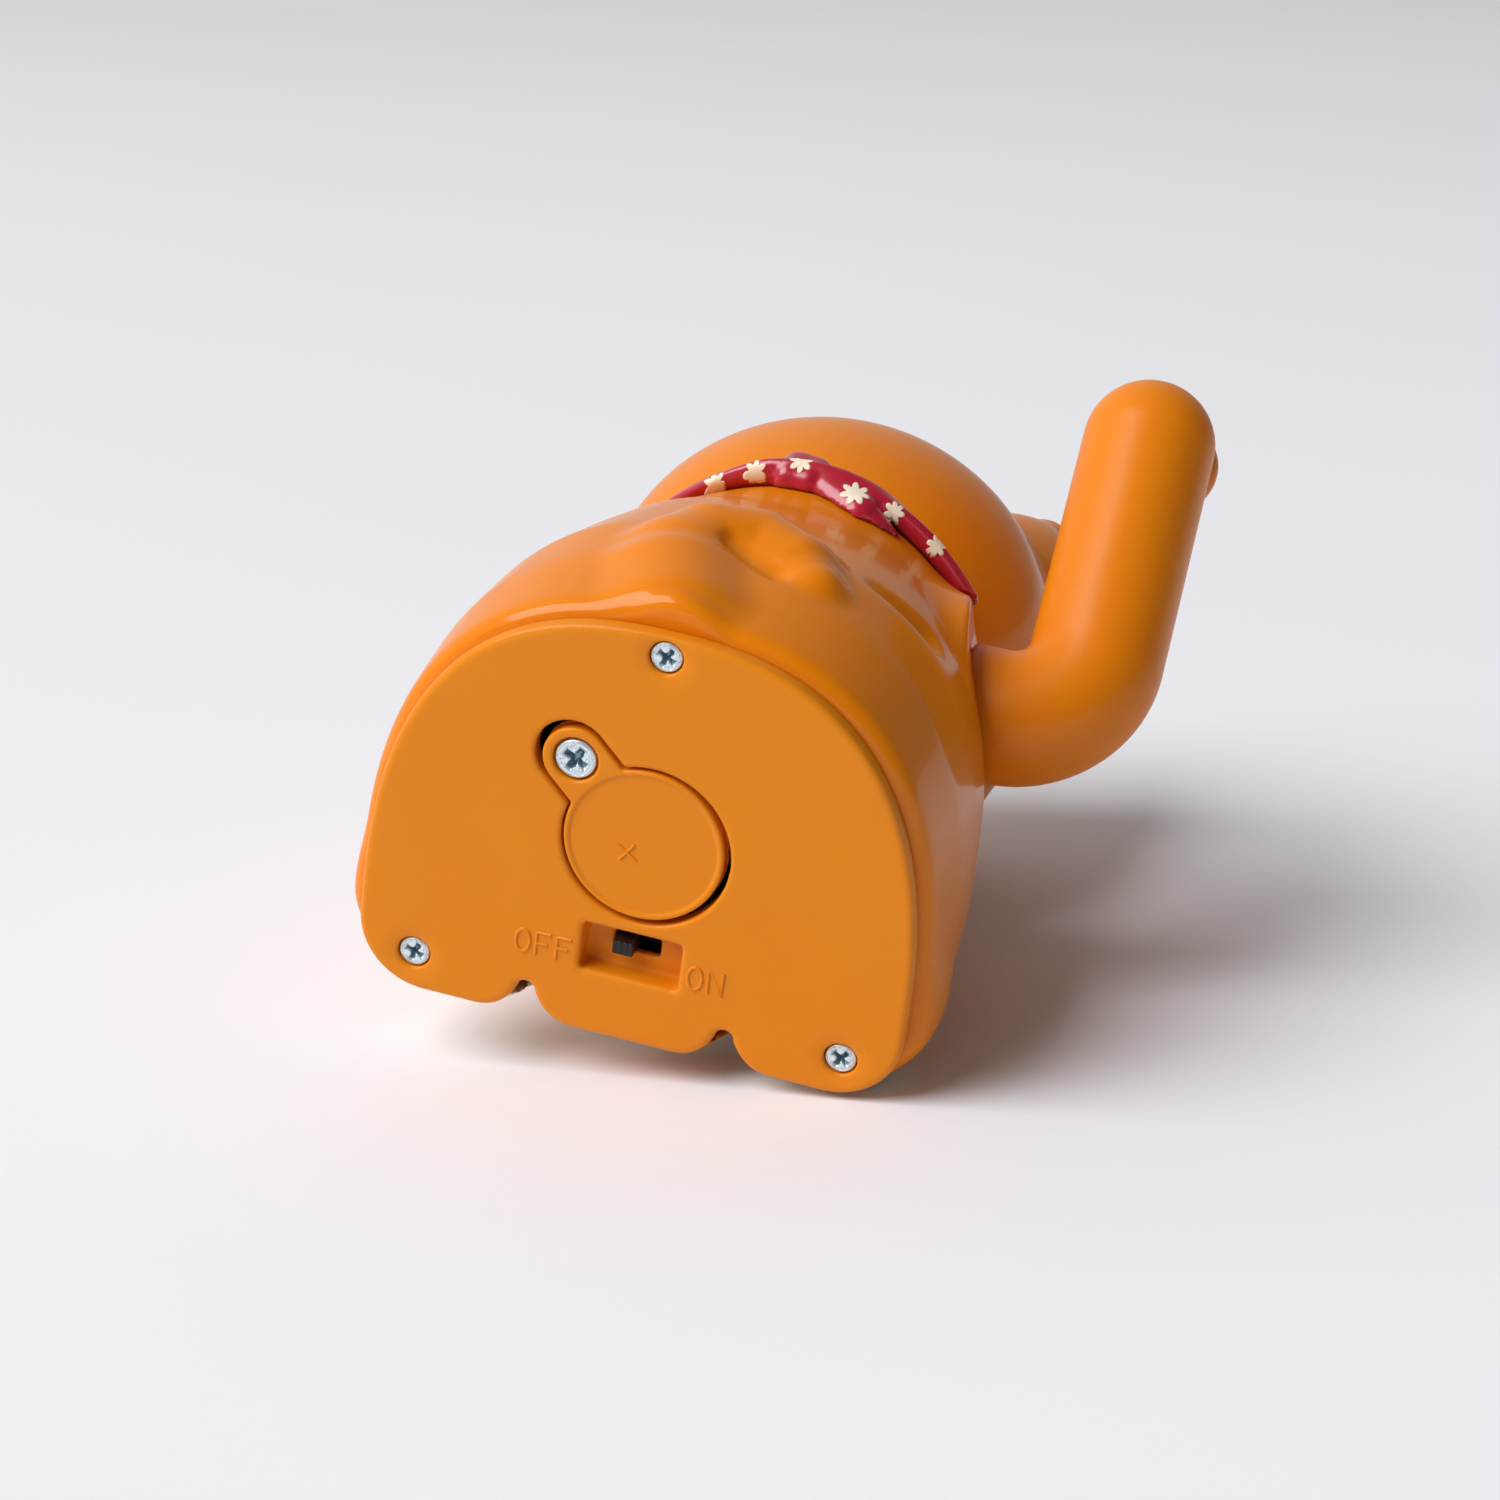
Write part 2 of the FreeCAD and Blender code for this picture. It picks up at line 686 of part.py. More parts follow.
# Button cell: a can with a smaller cap on top
cap_radius = cell_radius - cell_step * 2
node("button_cell", place(turned("button_cell", (
    (0, 0), (cell_radius - cell_step / 2, 0), (cell_radius, cell_step / 2),
    (cell_radius, cell_height - cell_step), (cap_radius, cell_height - cell_step),
    (cap_radius, cell_height), (0, cell_height))), (0, 0, cell_floor)))

# Contacts: bent strips that press on the cell and reach up to pads under the board
node("contact_positive", box("contact_positive",
                             (-contact_width / 2, cup_radius - contact_thick / 2, door_thick + clear_gap * 2),
                             (contact_width / 2, cup_radius + contact_thick / 2, board_under)))
tail_inner = cup_radius - contact_thick
negative_leaf = box("negative_leaf", (-contact_width / 2, -tail_inner, cup_top - contact_thick),
                    (contact_width / 2, cap_radius / 2, cup_top))
negative_tail = box("negative_tail", (-contact_width / 2, -tail_inner, cup_top - contact_thick),
                    (contact_width / 2, -(tail_inner - contact_thick), board_under))
node("contact_negative", fuse("contact_negative", negative_leaf, negative_tail))

# Slide switch above its well
switch_case = box("switch_case", (-switch_half_length, switch_middle - switch_half_width, well_top),
                  (switch_half_length, switch_middle + switch_half_width, well_top + switch_height))
channel_top = well_top + switch_height / 2
switch_channel = box("switch_channel", (slot_low, switch_middle - slot_half_width, 0),
                     (slot_high, switch_middle + slot_half_width, channel_top))
node("switch_body", cut("switch_body", switch_case, switch_channel))
node("switch_slider", box("switch_slider", (0, switch_middle - knob_width / 2, well_depth - knob_drop),
                          (knob_length, switch_middle + knob_width / 2, channel_top - loose_gap)))
pin_under = well_top + switch_height
pin_top = pin_under + pin_length
node("switch_terminals", group("switch_terminals", [
    box(f"switch_pin_{i + 1}", (i * pin_pitch - pin_width / 2, switch_middle - pin_width / 2, pin_under),
        (i * pin_pitch + pin_width / 2, switch_middle + pin_width / 2, pin_top))
    for i in (-1, 0, 1)]))

# Circuit board on the four posts, notched at the front for the switch leads
board_top = board_under + board_thick
lead_land = switch_middle + lead_bend * 2
board_tools = [
    box("board_notch", (-board_notch_half, axle_back - board_half_width - overrun, board_under - overrun),
        (board_notch_half, lead_land - lead_radius - clear_gap, board_top + overrun)),
]
for i, (x, y) in enumerate(post_spots):
    board_tools.append(cylinder(f"board_hole_{i}", base_screw_shank + loose_gap, board_thick + overrun * 2,
                                (x, y, board_under - overrun)))
board_blank = box("board_blank", (-board_half_length, axle_back - board_half_width, board_under),
                  (board_half_length, axle_back + board_half_width, board_top))
node("circuit_board", cut("circuit_board", board_blank, *board_tools))

# Coil under the pendulum: core pin, flanged bobbin and winding
coil_spot = (0, axle_back, board_top)
winding_radius = coil_radius - coil_flange
node("coil_bobbin", place(turned("coil_bobbin", (
    (coil_core_radius, 0), (coil_radius, 0), (coil_radius, coil_flange), (coil_barrel, coil_flange),
    (coil_barrel, coil_height - coil_flange), (coil_radius, coil_height - coil_flange),
    (coil_radius, coil_height), (coil_core_radius, coil_height))), coil_spot))
node("coil_winding", place(turned("coil_winding", (
    (coil_barrel, coil_flange), (winding_radius, coil_flange),
    (winding_radius, coil_height - coil_flange), (coil_barrel, coil_height - coil_flange))), coil_spot))
node("coil_core", place(turned("coil_core", (
    (0, 0), (coil_core_radius, 0), (coil_core_radius, coil_height), (0, coil_height))), coil_spot))

# Driver chip and capacitor on the board, behind the coil
part_y = axle_back + coil_radius + capacitor_radius + clear_gap
node("driver_chip", box("driver_chip", (-(chip_length + clear_gap), part_y - chip_width / 2, board_top),
                        (-clear_gap, part_y + chip_width / 2, board_top + chip_height)))
node("capacitor", place(turned("capacitor", (
    (0, 0), (capacitor_radius, 0), (capacitor_radius, capacitor_height), (0, capacitor_height))),
    (capacitor_radius + clear_gap * 2, part_y, board_top)))

# Switch leads: up from the outer pins and over onto the board
for side, lead in ((1, "red_wire"), (-1, "black_wire")):
    x = side * pin_pitch.value
    bend = lead_bend.value
    rise = board_top.value + bend
    near, far = switch_middle.value, lead_land.value
    crown = Vector(x, (near + far) / 2, rise + bend)
    path = Part.Wire([
        Part.LineSegment(Vector(x, near, pin_top.value), Vector(x, near, rise)).toShape(),
        Part.Arc(Vector(x, near, rise), crown, Vector(x, far, rise)).toShape(),
        Part.LineSegment(Vector(x, far, rise), Vector(x, far, board_top.value)).toShape(),
    ])
    ring = Part.Circle(Vector(x, near, pin_top.value), Vector(0, 0, 1), lead_radius.value)
    section = Part.Wire([ring.toShape()])
    node(lead, form(lead, path.makePipeShell([section], True, True)))

# Bearing frame: two feet, two tapering cheeks and the two bars that stop the pendulum
flange_top = board_top + flange_thick
cheek_place = post_place - frame_screw_head - clear_gap - cheek_thick
cheek_foot = board_half_width - clear_gap
axle_spot = (0, axle_back, axle_height)
rest_turn = Rotation(Vector(1, 0, 0), -swing_half.value)
pendulum_length = axle_height - board_top - coil_height - magnet_gap
cup_height = magnet_thick + magnet_cup_wall
stop_low = pendulum_length - cup_height - stop_above_cup


def cheek(name, side):
    """One bearing cheek, from its foot up to the round end about the axle."""
    inner = side * cheek_place if side > 0 else -(cheek_place + cheek_thick)
    body = padded(name, "YZ_Plane", (
        (axle_back - cheek_foot, board_top), (axle_back + cheek_foot, board_top),
        (axle_back + cheek_foot, flange_top), (axle_back + cheek_top, axle_height + cheek_top),
        (axle_back - cheek_top, axle_height + cheek_top), (axle_back - cheek_foot, flange_top)),
        cheek_thick, inner)
    return body


frame_solids = []
for side, name in ((1, "left"), (-1, "right")):
    frame_solids.append(cheek(f"{name}_cheek", side))
    low_x = cheek_place if side > 0 else -board_half_length
    high_x = board_half_length if side > 0 else -cheek_place
    frame_solids.append(box(f"{name}_foot", (low_x, axle_back - cheek_foot, board_top),
                            (high_x, axle_back + cheek_foot, flange_top)))
for end, name in ((-1, "front"), (1, "rear")):
    bar = doc.addObject("Part::Box", f"{name}_stop")
    bind(bar, Length=(cheek_place + cheek_thick) * 2, Width=stop_bar, Height=stop_bar)
    near = pendulum_half_width.value + running_gap.value
    corner_y = near if end > 0 else -(near + stop_bar.value)
    turn = Rotation(Vector(1, 0, 0), end * swing_half.value)
    corner = turn.multVec(vector(-(cheek_place + cheek_thick), corner_y, -stop_low))
    bar.Placement = Placement(vector(*axle_spot) + corner, turn)
    frame_solids.append(bar)
frame_half = cheek_place + cheek_thick + overrun
frame_tools = [cylinder("axle_bore", axle_radius + running_gap, frame_half * 2,
                        (-frame_half, axle_back, axle_height), ALONG_X)]
for i, (x, y) in enumerate(post_spots):
    frame_tools.append(cylinder(f"frame_hole_{i}", base_screw_shank + loose_gap, flange_thick + overrun * 2,
                                (x, y, board_top - overrun)))
node("mechanism_frame", cut("mechanism_frame", fuse("frame_solid", *frame_solids), *frame_tools))
node("frame_screws", group("frame_screws", [
    screw(f"frame_screw_{i}", frame_screw_head, base_screw_shank, frame_screw_length,
          (x, y, flange_top + screw_head_thick), UPSIDE_DOWN) for i, (x, y) in enumerate(post_spots)]))

# Axle with its two retaining rings
shoulder_face = chest_half_width - shoulder_inset
stub_end = shoulder_face + clear_gap
axle_left = cheek_place + cheek_thick + clip_thick + clear_gap
axle_right = stub_end + plug_thick + axle_grip
node("axle", cylinder("axle", axle_radius, axle_left + axle_right, (-axle_right, axle_back, axle_height),
                      ALONG_X))
clip_start = cheek_place + cheek_thick + running_gap
clips = []
for side, low_x in ((1, clip_start), (-1, -(clip_start + clip_thick))):
    ring = turned(f"clip_{'left' if side > 0 else 'right'}", (
        (axle_radius, 0), (clip_radius, 0), (clip_radius, clip_thick), (axle_radius, clip_thick)))
    clips.append(place(ring, (low_x, axle_back, axle_height), ALONG_X))
node("axle_clips", group("axle_clips", clips))

# Pendulum: hub on the axle, rod and magnet cup, held at the stop it rests on
hub = cylinder("pendulum_hub_solid", pendulum_hub, pendulum_hub_half * 2, (-pendulum_hub_half, 0, 0), ALONG_X)
rod = box("pendulum_rod", (-pendulum_half_thick, -pendulum_half_width, -(pendulum_length - magnet_thick)),
          (pendulum_half_thick, pendulum_half_width, 0))
cup = cylinder("magnet_cup", magnet_radius + magnet_cup_wall, cup_height, (0, 0, -pendulum_length))
pendulum = cut("pendulum", fuse("pendulum_solid", hub, rod, cup),
               cylinder("pendulum_bore", axle_radius, (pendulum_hub_half + overrun) * 2,
                        (-(pendulum_hub_half + overrun), 0, 0), ALONG_X),
               cylinder("magnet_bore", magnet_radius, magnet_thick, (0, 0, -pendulum_length)))
node("pendulum", place(pendulum, axle_spot, rest_turn))
magnet_top = magnet_thick - pendulum_length
magnet = turned("magnet", ((0, -pendulum_length), (magnet_radius, -pendulum_length),
                           (magnet_radius, magnet_top), (0, magnet_top)))
node("magnet", place(magnet, axle_spot, rest_turn))

# Waving arm: a bent hollow tube with a round paw, tilted back on the axle
arm_turn = Rotation(Vector(1, 0, 0), -arm_tilt.value)
lean = math.radians(arm_lean.value)
forearm = Vector(math.sin(lean), 0, math.cos(lean))
bend_run = arm_bend.value * math.tan(math.radians(RIGHT_ANGLE + arm_lean.value) / 2)
bend_start = stub_end + arm_stub
elbow = Vector(-(bend_start.value + bend_run), 0, 0)
paw = elbow + forearm * arm_reach.value
along_forearm = Rotation(Vector(0, 0, 1), forearm)
bend_frame = Rotation(Vector(0, 0, -1), Vector(-1, 0, 0), Vector(0, 1, 0), "ZXY")


def arm_tube(name, radius, open_end):
    """The arm's bent tube with a round end, starting at the given distance from the middle."""
    stub = cylinder(f"{name}_stub", radius, bend_start - open_end, (-bend_start, 0, 0), ALONG_X)
    bend = doc.addObject("Part::Torus", f"{name}_bend")
    bind(bend, Radius1=arm_bend, Radius2=radius, Angle3=RIGHT_ANGLE + arm_lean)
    bend.Placement = Placement(vector(-bend_start, 0, arm_bend), bend_frame)
    fore = doc.addObject("Part::Cylinder", f"{name}_forearm")
    bind(fore, Radius=radius)
    fore.Height = arm_reach.value - bend_run
    fore.Placement = Placement(elbow + forearm * bend_run, along_forearm)
    end = doc.addObject("Part::Sphere", f"{name}_paw")
    bind(end, Radius=radius)
    end.Placement = Placement(paw, Rotation())
    return fuse(name, stub, bend, fore, end)


arm_bore = arm_radius - arm_wall
palm = doc.addObject("Part::Ellipsoid", "palm_pad")
bind(palm, Radius2=pad_half_width, Radius3=arm_wall + pad_rise, Radius1=pad_half_width)
palm.Placement = Placement(paw + Vector(0, -(arm_radius.value - arm_wall.value), 0), Rotation())
arm_solid = fuse("arm_solid", arm_tube("arm_outside", arm_radius, stub_end), palm)
arm_inside = arm_tube("arm_inside", arm_bore, stub_end - overrun)
node("waving_arm", place(cut("waving_arm", arm_solid, arm_inside), axle_spot, arm_turn))

# Plug that closes the arm's open end and grips the axle
neck_end = shoulder_face - body_wall - clear_gap
plug_disc = cylinder("plug_disc", arm_bore, plug_thick, (-(stub_end + plug_thick), 0, 0), ALONG_X)
plug_neck = cylinder("plug_neck", plug_neck_radius, axle_right - neck_end, (-axle_right, 0, 0), ALONG_X)
plug_bore = cylinder("plug_bore", axle_radius, axle_right - neck_end + overrun * 2,
                     (-(axle_right + overrun), 0, 0), ALONG_X)
plug_solid = fuse("plug_solid", plug_disc, plug_neck)
node("arm_plug", place(cut("arm_plug", plug_solid, plug_bore), axle_spot, arm_turn))

# Bush that lines the hole in the shoulder, flush with its face
bush_radius = arm_hole_radius + bush_wall
node("shoulder_bush", place(turned("shoulder_bush", (
    (arm_hole_radius, 0), (bush_radius, 0), (bush_radius, body_wall), (arm_hole_radius, body_wall))),
    (body_wall - shoulder_face, axle_back, axle_height), AGAINST_X))

# Body shell: oval body, feet, one folded foreleg, tail and shoulder, hollowed from below
head_height = neck_height + head_radius - head_sink
head_half_width = chest_half_width + head_overhang
head_spot = (0, -head_forward, head_height)
foot_spots = [(side * (plate_half_width - foot_inset), foot_setback - plate_front, plate_thick + foot_lift)
              for side in (1, -1)]
tail_back = hip_back - tail_sink


def head_ball(name, grow):
    """The skull's form, grown or shrunk all round."""
    return ball(name, head_spot, (head_half_width + grow, head_radius + grow, head_radius + grow))


head_seat = head_ball("head_seat", seat_gap)
body_solids = [form("body_outside", body_form(0, 0, plate_thick.value))]
for i, spot in enumerate(foot_spots):
    body_solids.append(ball(f"foot_form_{i}", spot, (foot_half_width, foot_reach, foot_rise)))
foreleg_turn = Rotation(Vector(0, 1, 0), foreleg_lean.value)
foreleg_spot = vector(foreleg_place, foreleg_sink - chest_front, axle_height - foreleg_drop)
foreleg_run = foreleg_turn.multVec(vector(0, 0, foreleg_half - forepaw_radius / 4))
foreleg = doc.addObject("Part::Ellipsoid", "foreleg_form")
bind(foreleg, Radius2=foreleg_half_width, Radius3=foreleg_reach, Radius1=foreleg_half)
foreleg.Placement = Placement(foreleg_spot, foreleg_turn)
forepaw = doc.addObject("Part::Sphere", "forepaw_form")
bind(forepaw, Radius=forepaw_radius)
forepaw.Placement = Placement(foreleg_spot - foreleg_run, Rotation())
body_solids += [foreleg, forepaw]
shoulder_y = axle_back + shoulder_behind
shoulder_z = axle_height - shoulder_below
body_solids.append(cylinder("shoulder_boss", shoulder_radius, shoulder_face,
                            (-shoulder_face, shoulder_y, shoulder_z), ALONG_X))
curl_spot = (tail_stem_place - tail_curl_radius, tail_back, tail_height)
stem_turn = Rotation(Vector(0, 1, 0), tail_lean.value)
stem_drop = stem_turn.multVec(vector(0, 0, tail_stem_half))
stem = doc.addObject("Part::Ellipsoid", "tail_stem")
bind(stem, Radius2=tail_radius, Radius3=tail_radius, Radius1=tail_stem_half + tail_radius / 2)
stem.Placement = Placement(vector(tail_stem_place, tail_back, tail_height) - stem_drop, stem_turn)
curl = doc.addObject("Part::Torus", "tail_curl")
bind(curl, Radius1=tail_curl_radius, Radius2=tail_radius)
curl.Angle3 = 2 * RIGHT_ANGLE
place(curl, curl_spot, Rotation(Vector(1, 0, 0), Vector(0, 0, 1), Vector(0, -1, 0), "ZXY"))
tail_tip = ball("tail_tip", (tail_stem_place - tail_curl_radius * 2, tail_back, tail_height),
                (tail_radius, tail_radius, tail_radius))
body_solids += [stem, curl, tail_tip]

below = box("below_lip", (-far_out, -far_out, -far_out), (far_out, far_out, plate_thick))
recess = cylinder("arm_recess", arm_radius + recess_gap, far_out,
                  (-shoulder_face, axle_back, axle_height), AGAINST_X)
outer_tools = [below, head_seat, recess]
groove_front = plate_front + groove_radius - lip_inset
for side, name in ((1, "left"), (-1, "right")):
    outer_tools.append(cylinder(f"{name}_groove", groove_radius, groove_rise,
                                (side * notch_place, -groove_front, plate_thick)))
body_outer = cut("body_outer", fuse("body_solid", *body_solids), *outer_tools)

bowl = head_ball("head_bowl", body_wall)
shoulder_pad = cylinder("shoulder_pad", shoulder_radius + body_wall, far_out,
                        (-(shoulder_face - body_wall), shoulder_y, shoulder_z), AGAINST_X)
keep_solid = [bowl, shoulder_pad]
for i, (x, y) in enumerate(base_screw_spots):
    keep_solid.append(cylinder(f"boss_{i}", boss_radius, boss_height, (x, y, 0)))
body_inside = form("body_inside", body_form(-body_wall.value, -front_wall.value, 0))
cavity = cut("body_cavity", body_inside, *keep_solid)
spigot_base = head_height - head_radius - spigot_length + body_wall
shell_tools = [
    cavity,
    cylinder("arm_hole", bush_radius + running_gap, body_wall * 3 + overrun,
             (-(shoulder_face + overrun), axle_back, axle_height), ALONG_X),
    cylinder("spigot_hole", spigot_radius + running_gap, spigot_length * 3,
             (0, -head_forward, spigot_base - overrun)),
]
for i, (x, y) in enumerate(base_screw_spots):
    shell_tools.append(cylinder(f"boss_bore_{i}", base_screw_shank + running_gap,
                                base_screw_length + clear_gap, (x, y, base_screw_sink)))
node("body_shell", cut("body_shell", body_outer, *shell_tools))

# Head shell: skull, muzzle, jowls and ears, hollow, with a spigot that drops through the body's neck
skull = head_ball("skull", 0)
muzzle = ball("muzzle", (0, muzzle_sink - head_forward - head_radius, head_height - muzzle_drop),
              (muzzle_half_width, muzzle_reach, muzzle_rise))
head_solids = [skull, muzzle]
for side, name in ((1, "left"), (-1, "right")):
    jowl_spot = (side * jowl_place, jowl_sink - head_forward - head_radius, head_height - jowl_drop)
    head_solids.append(ball(f"{name}_jowl", jowl_spot, (jowl_half_width, jowl_reach, jowl_rise)))
    ear_spot = (side * ear_place, ear_behind - head_forward, head_height + head_radius - ear_sink)
    head_solids.append(ball(f"{name}_ear", ear_spot, (ear_half_width, ear_thick, ear_rise),
                            Rotation(Vector(0, 1, 0), side * ear_splay.value)))
head_solids.append(cylinder("spigot", spigot_radius, spigot_length + head_radius / 2,
                            (0, -head_forward, spigot_base)))
hollow = head_ball("head_hollow", -head_wall)
spigot_way = cylinder("spigot_way", spigot_bore, spigot_length + head_radius,
                      (0, -head_forward, spigot_base - overrun))
node("head_shell", cut("head_shell", fuse("head_solid", *head_solids), hollow, spigot_way))

# Bandana: a band in the crease of the neck, a bib on the chest, a knot and one loose end behind
band_low = shoulder_height + band_above_shoulder
band_high = neck_height - band_below_neck
band_form = form("band_form", body_form(band_thick.value, band_thick.value, plate_thick.value))
band_zone = box("band_zone", (-far_out, -far_out, band_low), (far_out, far_out, band_high))
bib_zone = padded("bib_zone", "XZ_Plane",
                  ((-bib_half_width, band_high), (0, band_low - bib_drop), (bib_half_width, band_high)),
                  far_out, head_forward)
band = common("band", band_form, fuse("band_zones", band_zone, bib_zone))
knot_spot = (0, shoulder_back + knot_proud, band_low + knot_lift)
knot = turned("knot", ((0, -knot_half_width), (knot_end_radius, -knot_half_width),
                       (knot_radius, -knot_half_width / 2), (knot_radius, knot_half_width / 2),
                       (knot_end_radius, knot_half_width), (0, knot_half_width)))
place(knot, knot_spot, ALONG_X)
droop = math.radians(loose_end_droop.value)


def leaf_point(along, across):
    """A point of the loose end, by its distance along and across its drooping middle line."""
    return (-(along * math.cos(droop)) - across * math.sin(droop),
            across * math.cos(droop) - along * math.sin(droop))


leaf_shoulder = loose_end_length * 0.55
leaf_root = loose_end_half_width * 0.6
loose_end = padded("loose_end", "XZ_Plane", (
    leaf_point(as_size(0), leaf_root), leaf_point(leaf_shoulder, loose_end_half_width),
    leaf_point(loose_end_length, as_size(0)), leaf_point(leaf_shoulder, -loose_end_half_width),
    leaf_point(as_size(0), -leaf_root)), loose_end_thick, -loose_end_proud)
place(loose_end, knot_spot, Rotation(Vector(0, 0, 1), loose_end_wrap.value))
neck_form = form("neck_form", body_form(seat_gap.value, seat_gap.value, plate_thick.value))
over_shoulder = cylinder("over_shoulder", shoulder_radius + clear_gap, far_out,
                         (0, shoulder_y, shoulder_z), AGAINST_X)
node("bandana", cut("bandana", fuse("band_solid", band, knot, loose_end), neck_form, over_shoulder,
                    head_ball("band_seat", seat_gap)))

# Test every feature before anything is written
doc.recompute()
faults = []
for thing in doc.Objects:
    if "Invalid" in thing.State or "Error" in thing.State:
        faults.append(f"{thing.Label}: {thing.State}")
for piece in nodes:
    if piece.Shape.isNull() or not piece.Shape.isValid() or not piece.Shape.Solids:
        faults.append(f"{piece.Label}: no valid solid")
if faults:
    raise SystemExit("\n".join(faults))
os.makedirs("parts", exist_ok=True)
for piece in nodes:
    piece.Shape.exportStep(f"parts/{piece.Label}.step")
    print(piece.Label, len(piece.Shape.Solids), round(piece.Shape.Volume, 2))
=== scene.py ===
# A battery-driven waving dog figure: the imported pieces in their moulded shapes, paint and metal,
# lying on its front on a pale table with the base plate towards the camera.
import math

import bpy
import numpy as np
from mathutils import Matrix, Vector
from mathutils.bvhtree import BVHTree


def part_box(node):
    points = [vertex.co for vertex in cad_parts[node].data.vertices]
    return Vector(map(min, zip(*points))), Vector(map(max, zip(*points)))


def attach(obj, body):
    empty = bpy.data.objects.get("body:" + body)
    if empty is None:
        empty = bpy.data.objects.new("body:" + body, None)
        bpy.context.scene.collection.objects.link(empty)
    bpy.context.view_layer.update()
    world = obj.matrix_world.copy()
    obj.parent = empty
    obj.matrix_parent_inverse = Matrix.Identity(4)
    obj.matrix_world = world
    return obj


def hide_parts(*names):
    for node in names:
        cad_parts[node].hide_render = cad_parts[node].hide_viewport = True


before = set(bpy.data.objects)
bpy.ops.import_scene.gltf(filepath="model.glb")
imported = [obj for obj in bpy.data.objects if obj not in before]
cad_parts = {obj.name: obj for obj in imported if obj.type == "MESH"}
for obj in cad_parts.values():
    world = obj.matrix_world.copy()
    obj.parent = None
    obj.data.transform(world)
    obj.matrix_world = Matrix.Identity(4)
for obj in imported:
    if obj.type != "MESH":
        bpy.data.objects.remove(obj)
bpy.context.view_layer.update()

# Base plate. A flat moulding in orange ABS with a fine satin texture from the mould, screwed up into
# the body. It is an oval at the back with three lobes at the front, and carries the battery cup,
# the switch well and four posts on its hidden side. All sizes here are millimetres.
MM = 0.001
BELOW = -3.0
plate_low, plate_high = (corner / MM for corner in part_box("base_plate"))
plate_half, plate_back, plate_front = plate_high.x, plate_high.y, plate_low.y
plate_thick, plate_widest, plate_power, plate_corner = 2.0, -13.0, 2.5, 7.0
notch_place, notch_deep, notch_narrow, notch_wide = 9.87, 2.9, 0.9, 3.3
lid_radius, lid_spot, tab_radius, tab_spot = 7.75, (0.0, 0.0), 3.2, (7.34, 7.24)
pocket_lid, pocket_lid_spot, pocket_deep = 8.2, (-0.2, -0.1), 1.45
pocket_tab, pocket_tab_spot = 3.6, (tab_spot[0] + 0.35, tab_spot[1] + 0.3)
cup_radius, cup_bore, cup_top, cup_roof = 7.25, 6.05, 8.55, 7.35
boss_radius, boss_bore, boss_top = 2.6, 0.98, 6.9
housing_low, housing_high = (-5.9, -15.6, 1.0), (5.9, -8.5, 3.4)
well_low, well_high = (-4.88, -14.6, BELOW), (4.88, -9.5, 2.6)
slot_low, slot_high = (-2.25, -12.9, 0.0), (2.3, -11.0, 5.0)
post_spots = [(side, end) for side in (13.2, -13.2) for end in (12.5, -10.5)]
post_radius, post_bore, post_top = 2.2, 0.8, 9.6
screw_spots = ((21.18, -17.49), (-21.18, -17.49), (0.0, 19.5))
screw_hole, sink_radius, sink_deep, dish_radius, dish_deep = 1.0, 1.65, 1.2, 8.2, 0.35


def ball(p, centre, radii):
    """Distance from an ellipsoid."""
    q = (p - np.array(centre)) / np.array(radii)
    far = np.linalg.norm(q, axis=-1)
    steep = np.linalg.norm(q / np.array(radii), axis=-1)
    return far * (far - 1) / np.maximum(steep, 1e-6)


def rod(p, start, end, radius, end_radius):
    """Distance from a round-ended rod whose radius changes steadily from start to end."""
    start, end = np.array(start, float), np.array(end, float)
    along = end - start
    share = np.clip((p - start) @ along / (along @ along), 0, 1)
    nearest = start + share[..., None] * along
    return np.linalg.norm(p - nearest, axis=-1) - (radius + (end_radius - radius) * share)


def both(a, b, edge):
    """The space inside both forms, with the edge between them rounded to a radius."""
    a, b = a + edge, b + edge
    return np.minimum(np.maximum(a, b), 0) + np.hypot(np.maximum(a, 0), np.maximum(b, 0)) - edge


def join(a, b, fillet):
    """Two forms run together with a soft fillet between them."""
    share = np.clip(0.5 + 0.5 * (b - a) / fillet, 0, 1)
    return b + (a - b) * share - fillet * share * (1 - share)


def cut(a, b, fillet):
    """A form with another taken away from it, and a soft edge round the cut."""
    return -join(-a, b, fillet)


def slab(outline, height, low, high, edge):
    """An outline given a thickness between two heights, with rounded edges."""
    return both(outline, np.maximum(low - height, height - high), edge)


def disc(p, centre, radius, low, high, edge):
    """A round disc or peg along Z."""
    return slab(np.hypot(p[..., 0] - centre[0], p[..., 1] - centre[1]) - radius, p[..., 2], low, high, edge)


def block(p, low, high, edge):
    """A block between two corners, with rounded edges."""
    low, high = np.array(low), np.array(high)
    q = np.abs(p - (low + high) / 2) - (high - low) / 2 + edge
    return np.linalg.norm(np.maximum(q, 0), axis=-1) + np.minimum(q.max(axis=-1), 0) - edge


def plate_outline(p):
    """Distance from the edge in plan: an oval back, rounded front corners and two notches."""
    across, along = np.abs(p[..., 0]) + MM, p[..., 1] - plate_widest
    reach = np.hypot(across, along)
    oval = (across / plate_half) ** plate_power
    oval = oval + (np.abs(along) / (plate_back - plate_widest)) ** plate_power
    back = reach - reach / oval ** (1 / plate_power)
    side, ahead = across - plate_half + plate_corner, plate_front + plate_corner - p[..., 1]
    front = np.hypot(np.maximum(side, 0), np.maximum(ahead, 0)) - plate_corner
    front = front + np.minimum(np.maximum(side, ahead), 0)
    edge = np.where(along > 0, back, front)
    flat = np.stack([across, p[..., 1]], -1)
    notch_end, notch_mouth = (notch_place, plate_front + notch_deep), (notch_place, plate_front - 2.0)
    return cut(edge, rod(flat, notch_end, notch_mouth, notch_narrow, notch_wide), 2.6)


